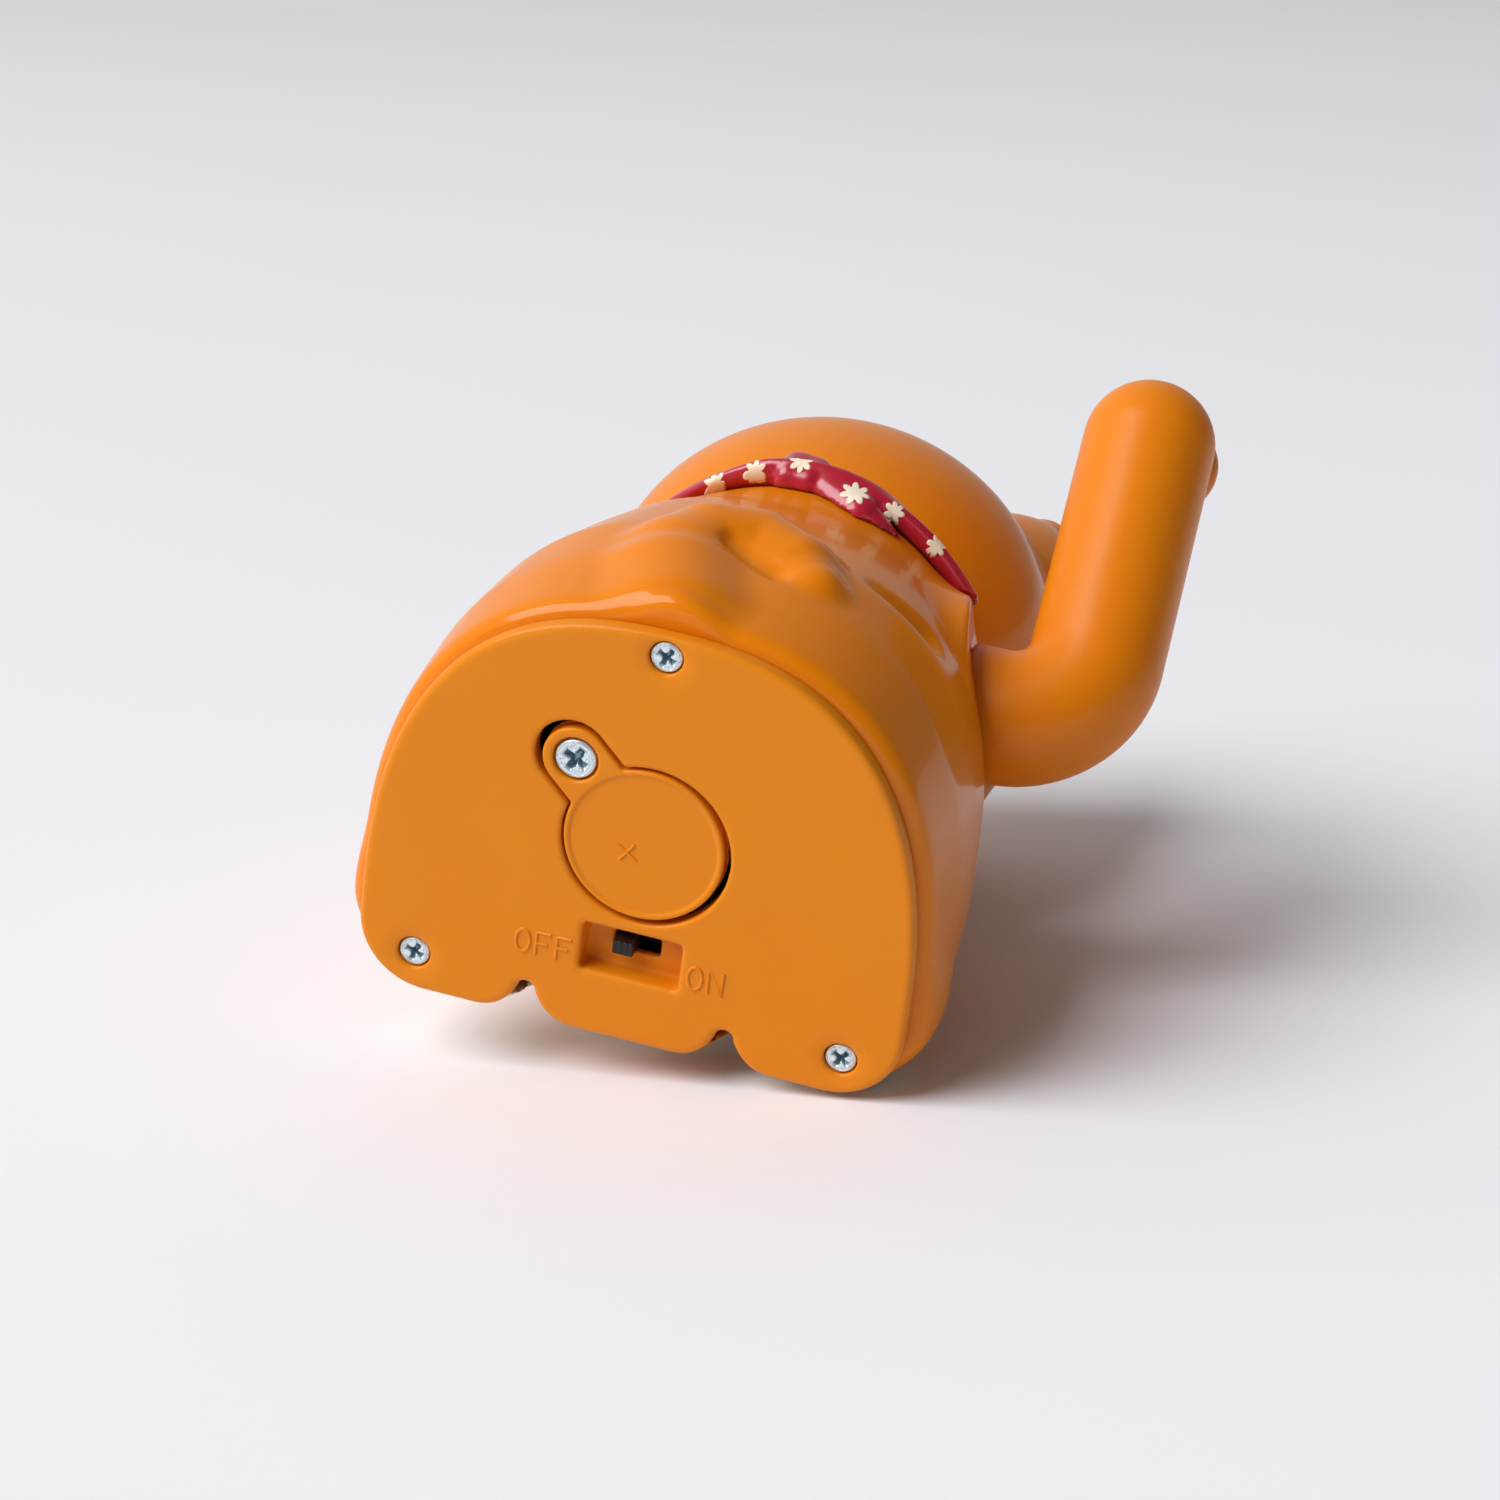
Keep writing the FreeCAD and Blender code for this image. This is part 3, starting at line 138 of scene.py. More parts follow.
def keyhole(p, lid, lid_at, tab, tab_at):
    """The door's outline in plan: a round lid, a round tab and the straight neck between."""
    flat = p[..., :2]
    neck = rod(flat, lid_at, tab_at, tab, tab)
    return join(np.hypot(flat[..., 0] - lid_at[0], flat[..., 1] - lid_at[1]) - lid, neck, 0.3)


def plate_form(p):
    """Distance from the plate with its cup, boss, switch housing and posts."""
    x, y, z = np.moveaxis(p, -1, 0)
    form = slab(plate_outline(p), z, 0.0, plate_thick, 0.65)
    form = np.minimum(form, disc(p, lid_spot, cup_radius, 0.5, cup_top, 0.3))
    form = np.minimum(form, disc(p, tab_spot, boss_radius, 0.5, boss_top, 0.3))
    form = np.minimum(form, block(p, housing_low, housing_high, 0.3))
    for spot in post_spots:
        form = np.minimum(form, disc(p, spot, post_radius, 1.0, post_top, 0.2))
        form = cut(form, disc(p, spot, post_bore, plate_thick, 12.0, 0.1), 0.1)
    pocket = keyhole(p, pocket_lid, pocket_lid_spot, pocket_tab, pocket_tab_spot)
    form = cut(form, slab(pocket, z, BELOW, pocket_deep, 0.1), 0.3)
    # Beyond the tab and on the lid's far side, the gap round the door is open right through
    gap = np.maximum(pocket, 0.1 - keyhole(p, lid_radius, lid_spot, tab_radius, tab_spot))
    open_ends = np.minimum(1.0 + sum(tab_spot) - x - y, 5.5 + 0.87 * x + 0.5 * y)
    form = cut(form, slab(np.maximum(gap, open_ends), z, BELOW, 5.0, 0.05), 0.05)
    form = cut(form, disc(p, lid_spot, cup_bore, 0.0, cup_roof, 0.1), 0.15)
    form = cut(form, disc(p, tab_spot, boss_bore, 0.0, boss_top + 0.05, 0.1), 0.1)
    form = cut(form, block(p, well_low, well_high, 0.5), 0.5)
    form = cut(form, block(p, slot_low, slot_high, 0.15), 0.12)
    for spot in screw_spots:
        form = cut(form, ball(p, (*spot, dish_deep - dish_radius), (dish_radius,) * 3), 0.3)
        form = cut(form, disc(p, spot, sink_radius, BELOW, sink_deep, 0.05), 0.2)
        form = cut(form, disc(p, spot, screw_hole, 0.0, 5.0, 0.05), 0.05)
    return form


def put(name, data):
    """Add an object to the scene."""
    thing = bpy.data.objects.new(name, data)
    bpy.context.scene.collection.objects.link(thing)
    return thing


def faced(name, points, faces):
    """An object with a smooth mesh of the given faces, its points in metres."""
    mesh = bpy.data.meshes.new(name)
    mesh.from_pydata(points, [], faces)
    mesh.shade_smooth()
    return put(name, mesh)


def skin(name, form, low, high, step):
    """A closed mesh of the surface of a form, made on a grid and then drawn onto the surface."""
    axes = [np.arange(a, b + step, step) for a, b in zip(low, high)]
    value = form(np.stack(np.meshgrid(*axes, indexing="ij"), -1))
    inside = value < 0
    ahead = np.eye(3, dtype=int)
    corners, cells, flips = [], [], []
    for a in range(3):
        spots = np.argwhere(np.diff(inside, axis=a))
        near = value[tuple(spots.T)]
        beyond = value[tuple((spots + ahead[a]).T)]
        corners.append(spots + (near / (near - beyond))[:, None] * ahead[a])
        b, c = ahead[(a + 1) % 3], ahead[(a + 2) % 3]
        cells.append(np.stack([spots, spots - b, spots - b - c, spots - c], 1))
        flips.append(near > 0)
    cells, corners, flips = np.concatenate(cells), np.concatenate(corners), np.concatenate(flips)
    places = np.ravel_multi_index(tuple(np.moveaxis(cells, -1, 0)), inside.shape)
    quads = np.unique(places, return_inverse=True)[1].reshape(-1, 4)
    share = np.bincount(quads.ravel())
    spread = np.repeat(corners, 4, axis=0)
    points = np.stack([np.bincount(quads.ravel(), spread[:, k]) / share for k in range(3)], -1)
    points = np.array(low) + points * step
    nudge = step / 8
    for turn in range(3):
        here = form(points)
        slope = np.stack([(form(points + nudge * axis) - here) / nudge for axis in np.eye(3)], -1)
        push = slope * (here / np.maximum((slope ** 2).sum(-1), 0.1))[:, None]
        points = points - np.clip(push, -step / 2, step / 2)
    quads[flips] = quads[flips, ::-1]
    return faced(name, (points * MM).tolist(), quads.tolist())


def fit(piece, body, slot, material, *replaced):
    """Give a piece its material, and say which body it moves with and which nodes it stands for."""
    piece.data.materials.clear()
    piece.data.materials.append(material)
    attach(piece, body)
    for name in replaced:
        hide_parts(name)


def linear(code):
    """A colour written as sRGB hex, in the linear values that shaders take."""
    parts = [int(code[i:i + 2], 16) / 255 for i in (1, 3, 5)]
    return [c / 12.92 if c <= 0.04045 else ((c + 0.055) / 1.055) ** 2.4 for c in parts] + [1.0]


def bare_tree(owner):
    """The node tree of a material or world, with nothing in it yet."""
    owner.use_nodes = True
    owner.node_tree.nodes.clear()
    return owner.node_tree


def add_node(tree, kind, values, **settings):
    """Add one node, with its settings and with a value or a link for each socket named."""
    node = tree.nodes.new(kind)
    for name, value in settings.items():
        setattr(node, name, value)
    for name, value in values.items():
        if isinstance(value, bpy.types.NodeSocket):
            tree.links.new(value, node.inputs[name])
        else:
            node.inputs[name].default_value = value
    return node


def grained(name, shade, tint, patch, grain, depth, **shader):
    """A material whose colour drifts between two shades over patches, with a fine grain, sizes in mm."""
    material = bpy.data.materials.new(name)
    tree = bare_tree(material)
    where = add_node(tree, "ShaderNodeTexCoord", {}).outputs["Object"]
    drift = add_node(tree, "ShaderNodeTexNoise", {"Vector": where, "Scale": 1 / (patch * MM), "Detail": 3.0})
    # The colour sockets of a Mix node are its inputs 6 and 7 and its output 2
    colour = add_node(tree, "ShaderNodeMix", {0: drift.outputs["Fac"], 6: linear(shade), 7: linear(tint)},
                      data_type="RGBA")
    fine = add_node(tree, "ShaderNodeTexNoise", {"Vector": where, "Scale": 1 / (grain * MM), "Detail": 2.0})
    bump = add_node(tree, "ShaderNodeBump", {"Height": fine.outputs["Fac"], "Distance": depth * MM,
                                             "Strength": 1.0})
    values = {"Base Color": colour.outputs[2], "Normal": bump.outputs["Normal"]}
    for socket, value in shader.items():
        values[socket.replace("_", " ")] = value
    surface = add_node(tree, "ShaderNodeBsdfPrincipled", values)
    add_node(tree, "ShaderNodeOutputMaterial", {"Surface": surface.outputs[0]})
    return material


# ABS from a finely textured mould: an even orange whose grain softens every highlight
satin_abs = grained("satin orange ABS", "#DF810E", "#E58816", 9.0, 0.22, 0.02, Roughness=0.3,
                    Specular_IOR_Level=0.2)
plate = skin("plate_moulding", plate_form, (-28, -23, -0.6), (28, 23, 10.4), 0.28)
fit(plate, "figure", "orange_satin", satin_abs, "base_plate")


# Switch marks. The two words beside the switch are raised lines in the plate's own plastic, engraved
# in the mould, about a third of a millimetre wide.
def strokes(name, lines, radius, closed=()):
    """Raised lines along the given runs of points, as closed tubes."""
    curve = bpy.data.curves.new(name, "CURVE")
    curve.dimensions = "3D"
    curve.bevel_depth = radius * MM
    curve.bevel_resolution = 2
    curve.use_fill_caps = True
    for number, line in enumerate(lines):
        run = curve.splines.new("POLY")
        run.points.add(len(line) - 1)
        run.use_cyclic_u = number in closed
        for point, spot in zip(run.points, line):
            point.co = (*(Vector(spot) * MM), 1.0)
    drawn = put(name + "_curve", curve)
    bpy.context.view_layer.update()
    piece = put(name, bpy.data.meshes.new_from_object(drawn))
    bpy.data.objects.remove(drawn)
    piece.data.shade_smooth()
    return piece


# The lines of each letter, in shares of its width and height
ring = [math.tau * i / 20 for i in range(20)]
LETTERS = {
    "O": [[(0.5 + 0.5 * math.sin(angle), 0.5 + 0.5 * math.cos(angle)) for angle in ring]],
    "F": [[(0, 0), (0, 1), (1, 1)], [(0, 0.52), (0.8, 0.52)]],
    "N": [[(0, 0), (0, 1), (1, 0), (1, 1)]],
}
letter_width, letter_height, letter_gap = 1.4, 2.4, 0.62
mark_radius, mark_height = 0.19, 0.03
for word, left, foot in (("OFF", 11.2, -14.2), ("ON", -5.75, -13.75)):
    lines, closed = [], []
    for place, letter in enumerate(word):
        start = left - place * (letter_width + letter_gap)
        for line in LETTERS[letter]:
            closed += [len(lines)] if letter == "O" else []
            lines.append([(start - u * letter_width, foot + v * letter_height, mark_height) for u, v in line])
    fit(strokes(f"mark_{word}", lines, mark_radius, closed), "figure", "orange_satin", satin_abs)


# Battery door. A keyhole-shaped lid in the same satin ABS that drops into the plate's pocket. Its round
# part has a low bead at the edge, its tab a collar round the screw, and a plain plus marks the cell's side.
door_thick, bead_inside, bead_height = 1.4, 7.1, 0.17
collar_radius, collar_deep, door_hole = 2.2, 0.95, 0.95


def door_form(p):
    """Distance from the door with its bead, its collar and the screw's hole."""
    form = slab(keyhole(p, lid_radius, lid_spot, tab_radius, tab_spot), p[..., 2], 0.0, door_thick, 0.28)
    form = cut(form, disc(p, lid_spot, bead_inside, BELOW, bead_height, 0.1), 0.4)
    form = cut(form, disc(p, tab_spot, collar_radius, BELOW, collar_deep, 0.05), 0.35)
    return cut(form, disc(p, tab_spot, door_hole, BELOW, 3.0, 0.05), 0.05)


door = skin("door_lid", door_form, (-9, -9, -0.6), (12, 12, 2.0), 0.16)
fit(door, "door", "orange_satin", satin_abs, "battery_door")
plus_spot, plus_half, plus_radius, plus_turn = Vector((1.5, -1.1, 0.2)), 1.15, 0.15, math.radians(35)
plus_arm = Vector((math.cos(plus_turn), math.sin(plus_turn), 0)) * plus_half
plus_lines = [[plus_spot - arm, plus_spot + arm] for arm in (plus_arm, plus_arm.cross((0, 0, 1)))]
fit(strokes("mark_plus", plus_lines, plus_radius), "door", "orange_satin", satin_abs)


# Screws. Cold-headed steel with bright zinc plate: a flat face with a softened edge, a cross recess a
# little torn by the driver, and a rolled thread that cuts its own way into the plastic.
def painted(name, field, piece):
    """Mark where paint lies on a piece: the distance in mm from the paint's edge, negative inside."""
    spots = np.empty(len(piece.data.vertices) * 3)
    piece.data.vertices.foreach_get("co", spots)
    mark = piece.data.attributes.new(name, "FLOAT", "POINT")
    mark.data.foreach_set("value", field(spots.reshape(-1, 3) / MM))


def paint_over(material, mark, paint):
    """Lay a second colour over a material wherever a piece's mark is below zero."""
    soft_edge = 0.08
    tree = material.node_tree
    surface = next(node for node in tree.nodes if node.type == "BSDF_PRINCIPLED")
    colour = surface.inputs["Base Color"].links[0].from_socket
    edge = add_node(tree, "ShaderNodeAttribute", {}, attribute_name=mark)
    inside = add_node(tree, "ShaderNodeMapRange", {"Value": edge.outputs["Fac"], "From Min": soft_edge,
                                                   "From Max": -soft_edge})
    layer = add_node(tree, "ShaderNodeMix", {0: inside.outputs[0], 6: colour, 7: linear(paint)},
                     data_type="RGBA")
    tree.links.new(layer.outputs[2], surface.inputs["Base Color"])


def screw(name, head, shank, length, turn):
    """One screw with its face at height 0 and its shank along +Z, from two radii in mm."""
    head_thick, pitch, thread, recess_deep = 0.8, 0.6, 0.1, 0.9
    tip = head_thick + length
    cos, sin = math.cos(turn), math.sin(turn)
    spin = np.array([[cos, -sin, 0], [sin, cos, 0], [0, 0, 1]])

    def screw_form(p):
        """Distance from the screw: pointed thread, head and cross recess."""
        x, y, z = np.moveaxis(p, -1, 0)
        wave = thread * np.cos(math.tau * z / pitch - np.arctan2(y, x))
        point = np.clip((tip - z) / (2 * shank), 0, 1)
        form = slab(np.hypot(x, y) - (shank + wave - thread) * point, z, head_thick / 2, tip, 0.02)
        form = join(form, disc(p, (0, 0), head, 0.0, head_thick, 0.22), 0.15)
        turned = p @ spin
        torn = 0.1 * np.sin(turned[..., 0] * 7.0 + 1.0) * np.cos(turned[..., 1] * 5.0)
        wide, far = head * 0.19 - 0.25 * z + torn, head * 0.68
        for a, b in ((0, 1), (1, 0)):
            wing = np.maximum(np.abs(turned[..., a]) - wide, np.abs(turned[..., b]) - far + 0.8 * z)
            form = cut(form, np.maximum(wing, z - recess_deep), 0.08)
        return form

    def shaded_recess(p):
        """The inside of the cross, painted a darker blue-grey as painted shade in the recess."""
        return np.maximum(0.16 - p[:, 2], np.hypot(p[:, 0], p[:, 1]) - 0.78 * head)

    side = head + 0.3
    piece = skin(name, screw_form, (-side, -side, -0.3), (side, side, length + 1.2), 0.075)
    # The cross is marked for painted shade: a darker colour laid where the recess is shaded
    painted("shaded_recess", shaded_recess, piece)
    return piece


def dress(material, *names):
    """Give kept CAD pieces their material."""
    for name in names:
        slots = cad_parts[name].data.materials
        slots.clear()
        slots.append(material)


# Zinc plate: a cold bluish white with small scuffs, so each face catches the light unevenly
zinc = grained("bright zinc plate", "#CFE3EC", "#F0FAFE", 0.9, 0.35, 0.02, Metallic=0.6, Roughness=0.3)
# Painted shade: the cross recess gets a darker blue-grey that stands in for the shade inside it
paint_over(zinc, "shaded_recess", "#7F9BA8")
door_screw = screw("door_screw_turned", 1.95, 0.9, 5.5, 0.5)
door_screw.location = Vector((*tab_spot, 0.15)) * MM
fit(door_screw, "door_screw", "zinc_screw", zinc, "battery_door_screw")
for number, (spot, turn) in enumerate(zip(screw_spots, (0.35, 0.6, 0.5))):
    plate_screw = screw(f"plate_screw_{number + 1}", 1.5, 0.75, 8.0, turn)
    plate_screw.location = Vector((*spot, 0.4)) * MM
    fit(plate_screw, "figure", "zinc_screw", zinc, "base_screws")
dress(zinc, "frame_screws")

# Button cell and contacts. A nickel-plated steel can with a smaller cap, held between two strips of
# drawn spring steel; the strips reach up to the board. The arm's axle and its clips are the same steel.
# Nickel plate: a warm grey mirror, slightly clouded
nickel = grained("nickel-plated steel", "#B4B1AA", "#D8D6D0", 3.0, 0.4, 0.01, Metallic=1.0, Roughness=0.26)
dress(nickel, "button_cell")
# Drawn steel: a cooler and duller grey, with faint marks of the die
spring = grained("drawn spring steel", "#9EA0A3", "#C4C6C8", 2.0, 0.2, 0.01, Metallic=1.0, Roughness=0.32)
dress(spring, "contact_positive", "contact_negative", "axle", "axle_clips")

# Slide switch. A black glass-filled nylon knob with three finger grooves, in a black housing over the
# plate's well, with three tinned brass pins.
knob_low, knob_high = (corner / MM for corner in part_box("switch_slider"))
groove_pitch, groove_radius = 0.55, 0.2
knob_margin = Vector((0.4, 0.4, 0.4))


def knob_form(p):
    """Distance from the knob with its three grooves."""
    form = block(p, knob_low, knob_high, 0.22)
    face = knob_low.z - 0.05
    for k in (-1, 0, 1):
        x = (knob_low.x + knob_high.x) / 2 + groove_pitch * k
        groove = rod(p, (x, knob_low.y - 1, face), (x, knob_high.y + 1, face), groove_radius, groove_radius)
        form = cut(form, groove, 0.06)
    return form


# Glass-filled nylon: a matt black, a little mottled by the glass
black_nylon = grained("black glass-filled nylon", "#0C0C0D", "#1A1B1D", 0.8, 0.15, 0.015, Roughness=0.5)
knob = skin("switch_knob", knob_form, knob_low - knob_margin, knob_high + knob_margin, 0.08)
fit(knob, "switch", "black_plastic", black_nylon, "switch_slider")
dress(black_nylon, "switch_body", "driver_chip")
# Tinned brass: a pale yellow metal, greyer where the tin is thick
brass = grained("tinned brass", "#B99A55", "#D9C48C", 1.0, 0.2, 0.01, Metallic=1.0, Roughness=0.35)
dress(brass, "switch_terminals")

# Drive. A green board with a coil, its driver and a capacitor, an acetal frame with two cheeks and stop
# bars, and a rocking pendulum with a ferrite magnet on the axle.
# Solder resist: a glassy green film over the laminate
laminate = grained("green solder resist", "#1C5A34", "#2C7446", 2.5, 0.3, 0.01, Roughness=0.35)
dress(laminate, "circuit_board")
# Drawn aluminium: a bright, soft white metal
drawn_can = grained("drawn aluminium", "#B7BBC0", "#DADDE0", 1.5, 0.2, 0.01, Metallic=1.0, Roughness=0.3)
dress(drawn_can, "capacitor")
# Natural acetal: a milky white with a waxy sheen
acetal = grained("natural acetal", "#E3E0D6", "#EFECE4", 4.0, 0.3, 0.01, Roughness=0.45)
dress(acetal, "coil_bobbin", "mechanism_frame", "pendulum", "shoulder_bush")
# Sintered ferrite: a dull charcoal with a gritty face
ferrite = grained("sintered ferrite", "#26262A", "#3A3A3E", 1.2, 0.25, 0.02, Roughness=0.6)
dress(ferrite, "magnet")
# Bare iron: a dull mid grey
iron = grained("bare iron", "#5A5A5C", "#7C7B7A", 1.0, 0.2, 0.01, Metallic=1.0, Roughness=0.5)
dress(iron, "coil_core")
# Enamelled copper: a red-brown gloss that changes from turn to turn
copper = grained("enamelled copper wire", "#8E4420", "#C4703A", 0.4, 0.12, 0.05, Metallic=0.8, Roughness=0.3)
dress(copper, "coil_winding")
# Lead insulation: soft vinyl with an even half-gloss, one red and one black
red_lead = grained("red lead insulation", "#A01818", "#B92420", 1.5, 0.3, 0.01, Roughness=0.45)
dress(red_lead, "red_wire")
black_lead = grained("black lead insulation", "#161616", "#242424", 1.5, 0.3, 0.01, Roughness=0.45)
dress(black_lead, "black_wire")

# Body shell. A hollow moulding in orange plastic with a thick glossy lacquer: a sitting body with two
# hind feet, one folded foreleg, a curled tail in relief and a flat shoulder for the arm.
# Each section gives its height, half width, reach to the back and reach to the front.
SECTIONS = np.array([
    (2.0, 27.9, 22.7, 22.5), (4.0, 28.2, 23.0, 22.8), (12.0, 28.5, 23.7, 23.3), (21.0, 27.9, 23.3, 23.7),
    (30.0, 26.5, 21.0, 24.4), (39.5, 24.2, 18.6, 24.8), (46.0, 21.8, 18.0, 24.3), (50.0, 18.6, 13.0, 23.0),
    (53.5, 15.6, 6.5, 22.0), (58.0, 11.6, 0.8, 20.6),
])
levels = np.arange(-6.0, 64.0, 0.25)
soften = np.hanning(18) / np.hanning(18).sum()
spare = 20
girth = [np.pad(np.interp(levels, SECTIONS[:, 0], SECTIONS[:, k]), spare, "edge") for k in (1, 2, 3)]
girth = [np.convolve(column, soften, "same")[spare:-spare] for column in girth]


def girth_at(z):
    """Half width, reach to the back, reach to the front, widest place, squareness and lean at a height."""
    half, back, front = (np.interp(z, levels, column) for column in girth)
    share, neck = np.clip((z - plate_thick) / 25.75, 0, 1), np.clip((z - 38.0) / 8.0, 0, 1)
    widest, power = plate_widest + 4.2 * share, plate_power - 0.2 * share - 0.3 * neck
    return half, back, front, widest, power, 2.0 * neck


def trunk(p):
    """Distance from the oval body, without feet, tail or shoulder. Only its back leans."""
    half, back, front, widest, power, lean = girth_at(p[..., 2])
    lean = lean * np.clip((p[..., 1] + 6.0) / 12.0, 0, 1)
    across, along = np.abs(p[..., 0] + lean) + MM, p[..., 1] - widest
    depth = np.where(along > 0, back - widest, front + widest)
    oval = ((across / half) ** power + (np.abs(along) / depth) ** power) ** (1 / power)
    reach = np.hypot(across, along)
    return reach - reach / oval


def on_back(x, z, lift):
    """A point at the given distance outside the back."""
    half, back, front, widest, power, lean = girth_at(z)
    return x, widest + (back - widest) * (1 - (abs(x + lean) / half) ** power) ** (1 / power) + lift, z


def chain(p, spots):
    """Distance from a run of tapering rods, each spot a point and its radius."""
    form = np.inf
    for (start, radius), (end, end_radius) in zip(spots, spots[1:]):
        form = np.minimum(form, rod(p, start, end, radius, end_radius))
    return form


def side_disc(p, spot, radius, low, high, edge):
    """A disc that faces sideways, about a spot in Y and Z and between two places along X."""
    return slab(np.hypot(p[..., 1] - spot[0], p[..., 2] - spot[1]) - radius, p[..., 0], low, high, edge)


def mirror(p):
    """Points with the figure's right side folded onto its left, for what both sides have."""
    return np.concatenate([np.abs(p[..., :1]), p[..., 1:]], -1)


# Along the tail: place across, height, radius and how far it stands out of the back
TAIL = ((-0.7, -1.0, 4.5, 2.2), (1.2, 7.0, 8.0, 2.2), (2.7, 12.0, 7.4, 2.2), (3.4, 16.5, 6.2, 2.3),
        (1.9, 20.4, 5.4, 2.4), (-2.0, 22.2, 5.1, 2.3), (-6.3, 20.2, 4.5, 1.9), (-9.2, 16.6, 2.8, 1.4))
tail_spots = [(on_back(x, z, relief - radius), radius) for x, z, radius, relief in TAIL]
shoulder_x, shoulder_radius, shoulder_spot, shoulder_slant = -20.6, 10.5, (2.0, 38.9), 0.16
axle_spot, recess_radius, bush_radius = (1.0, 39.5), 7.2, 6.05
head_spot, head_radii = (0.0, -10.8, 71.5), np.array((25.0, 24.0, 24.0))
body_wall, body_top, neck_radius = 2.2, 56.0, 7.05
screw_post, screw_post_top, screw_bore, screw_bore_top = 3.0, 14.0, 0.8, 9.7
OUTSIDE = -60.0


def body_form(p):
    """Distance from the hollow body."""
    x, y, z = np.moveaxis(p, -1, 0)
    twin = mirror(p)
    # Hind feet, tail with the groove inside its curl, and the rounded lower lip
    form = join(trunk(p), ball(twin, (18.8, -13.6, 7.0), (9.7, 9.8, 8.6)), 3.0)
    form = join(form, chain(p, tail_spots), 1.8)
    form = cut(form, rod(p, on_back(-1.2, 16.9, 1.6), on_back(-5.8, 14.7, 1.0), 1.2, 1.5), 1.0)
    form = both(form, plate_thick - z, 1.6)
    # Flat shoulder, the crease beside the tail, the folded foreleg and the recess for the arm's bearing
    slanted = np.stack([x - shoulder_slant * (z - shoulder_spot[1]), y, z], -1)
    form = join(form, side_disc(slanted, shoulder_spot, shoulder_radius, shoulder_x, 0.0, 0.6), 2.6)
    form = cut(form, rod(p, on_back(-14.4, 24.0, 1.0), on_back(-19.6, 25.5, 0.9), 1.3, 1.9), 1.0)
    leg = chain(p, [((15.5, -18.6, 41.0), 4.6), ((13.5, -19.8, 33.0), 5.0), ((11.0, -20.4, 24.5), 5.2)])
    form = join(form, leg, 1.2)
    form = cut(form, side_disc(p, axle_spot, recess_radius, OUTSIDE, shoulder_x, 0.05), 0.3)
    # Grooves above the plate's notches, and lines between the toes of the hind feet and the foreleg
    groove_y = plate_front - 1.6
    groove = rod(twin, (notch_place, groove_y, 0.0), (notch_place, groove_y - 0.8, 12.0), 3.2, 1.0)
    form = cut(form, groove, 1.6)
    for toe in (16.4, 21.2):
        form = cut(form, rod(twin, (toe, -23.6, 3.4), (toe, -23.4, 8.6), 0.75, 0.5), 0.6)
    for toe in (9.6, 12.6):
        form = cut(form, rod(p, (toe, -26.0, 21.6), (toe, -25.9, 25.2), 0.6, 0.4), 0.5)
    # Seat of the head, then the hollow inside with its pad at the shoulder and its screw posts
    form = cut(form, ball(p, head_spot, head_radii + 0.12), 0.1)
    form = np.maximum(form, z - body_top)
    hollow = np.maximum(trunk(p) + body_wall, body_wall - ball(p, head_spot, head_radii))
    pad = side_disc(p, shoulder_spot, shoulder_radius + body_wall, OUTSIDE, shoulder_x + body_wall, 0.1)
    hollow = np.maximum(hollow, -pad)
    for spot in screw_spots:
        hollow = cut(hollow, disc(p, spot, screw_post, -5.0, screw_post_top, 0.3), 0.2)
        form = cut(form, disc(p, spot, screw_bore, 0.0, screw_bore_top, 0.1), 0.1)
    form = cut(form, hollow, 0.3)
    form = cut(form, side_disc(p, axle_spot, bush_radius, OUTSIDE, -10.0, 0.05), 0.05)
    return cut(form, disc(p, head_spot, neck_radius, 40.0, 70.0, 0.1), 0.1)


def body_paint(p):
    """The cream belly, toes and folded paw."""
    belly = ball(p, (0.0, -26.0, 24.0), (13.0, 12.0, 17.0))
    toes = ball(mirror(p), (19.2, -24.5, 6.0), (9.6, 8.0, 7.6))
    folded_paw = ball(p, (10.8, -26.5, 22.6), (5.6, 5.6, 4.6))
    leg = ball(p, (13.3, -20.0, 32.0), (7.4, 9.0, 12.5))
    return np.minimum(np.minimum(np.maximum(belly, -leg), toes), folded_paw)


def lacquer(name, dullness):
    """Orange plastic under a thick clear coat, with cream paint where a piece is marked for it."""
    material = grained(name, "#E07A06", "#E8850E", 14.0, 1.6, 0.012, Roughness=0.4, Specular_IOR_Level=0.05,
                       Coat_Weight=0.4, Coat_Roughness=dullness, Subsurface_Weight=0.15,
                       Subsurface_Radius=(0.0030, 0.0010, 0.0003), Subsurface_Scale=1.0)
    paint_over(material, "cream", "#F3E6CB")
    return material


# Sprayed lacquer: a deep orange with broad clear highlights, a little light passing into the plastic
orange_lacquer = lacquer("glossy orange lacquer", 0.1)
body = skin("body_moulding", body_form, (-30, -29, 1.0), (30, 28, 58), 0.45)
painted("cream", body_paint, body)
fit(body, "figure", "orange_gloss", orange_lacquer, "body_shell")

# Head shell. A hollow round head pushed onto the body's neck by a spigot, moulded and lacquered like the
# body. Muzzle, cheeks and upright ears are part of it; the face is a plain one, painted cream.
head_wall, spigot_radius, spigot_bore, spigot_low = 2.0, 7.0, 5.0, 45.1


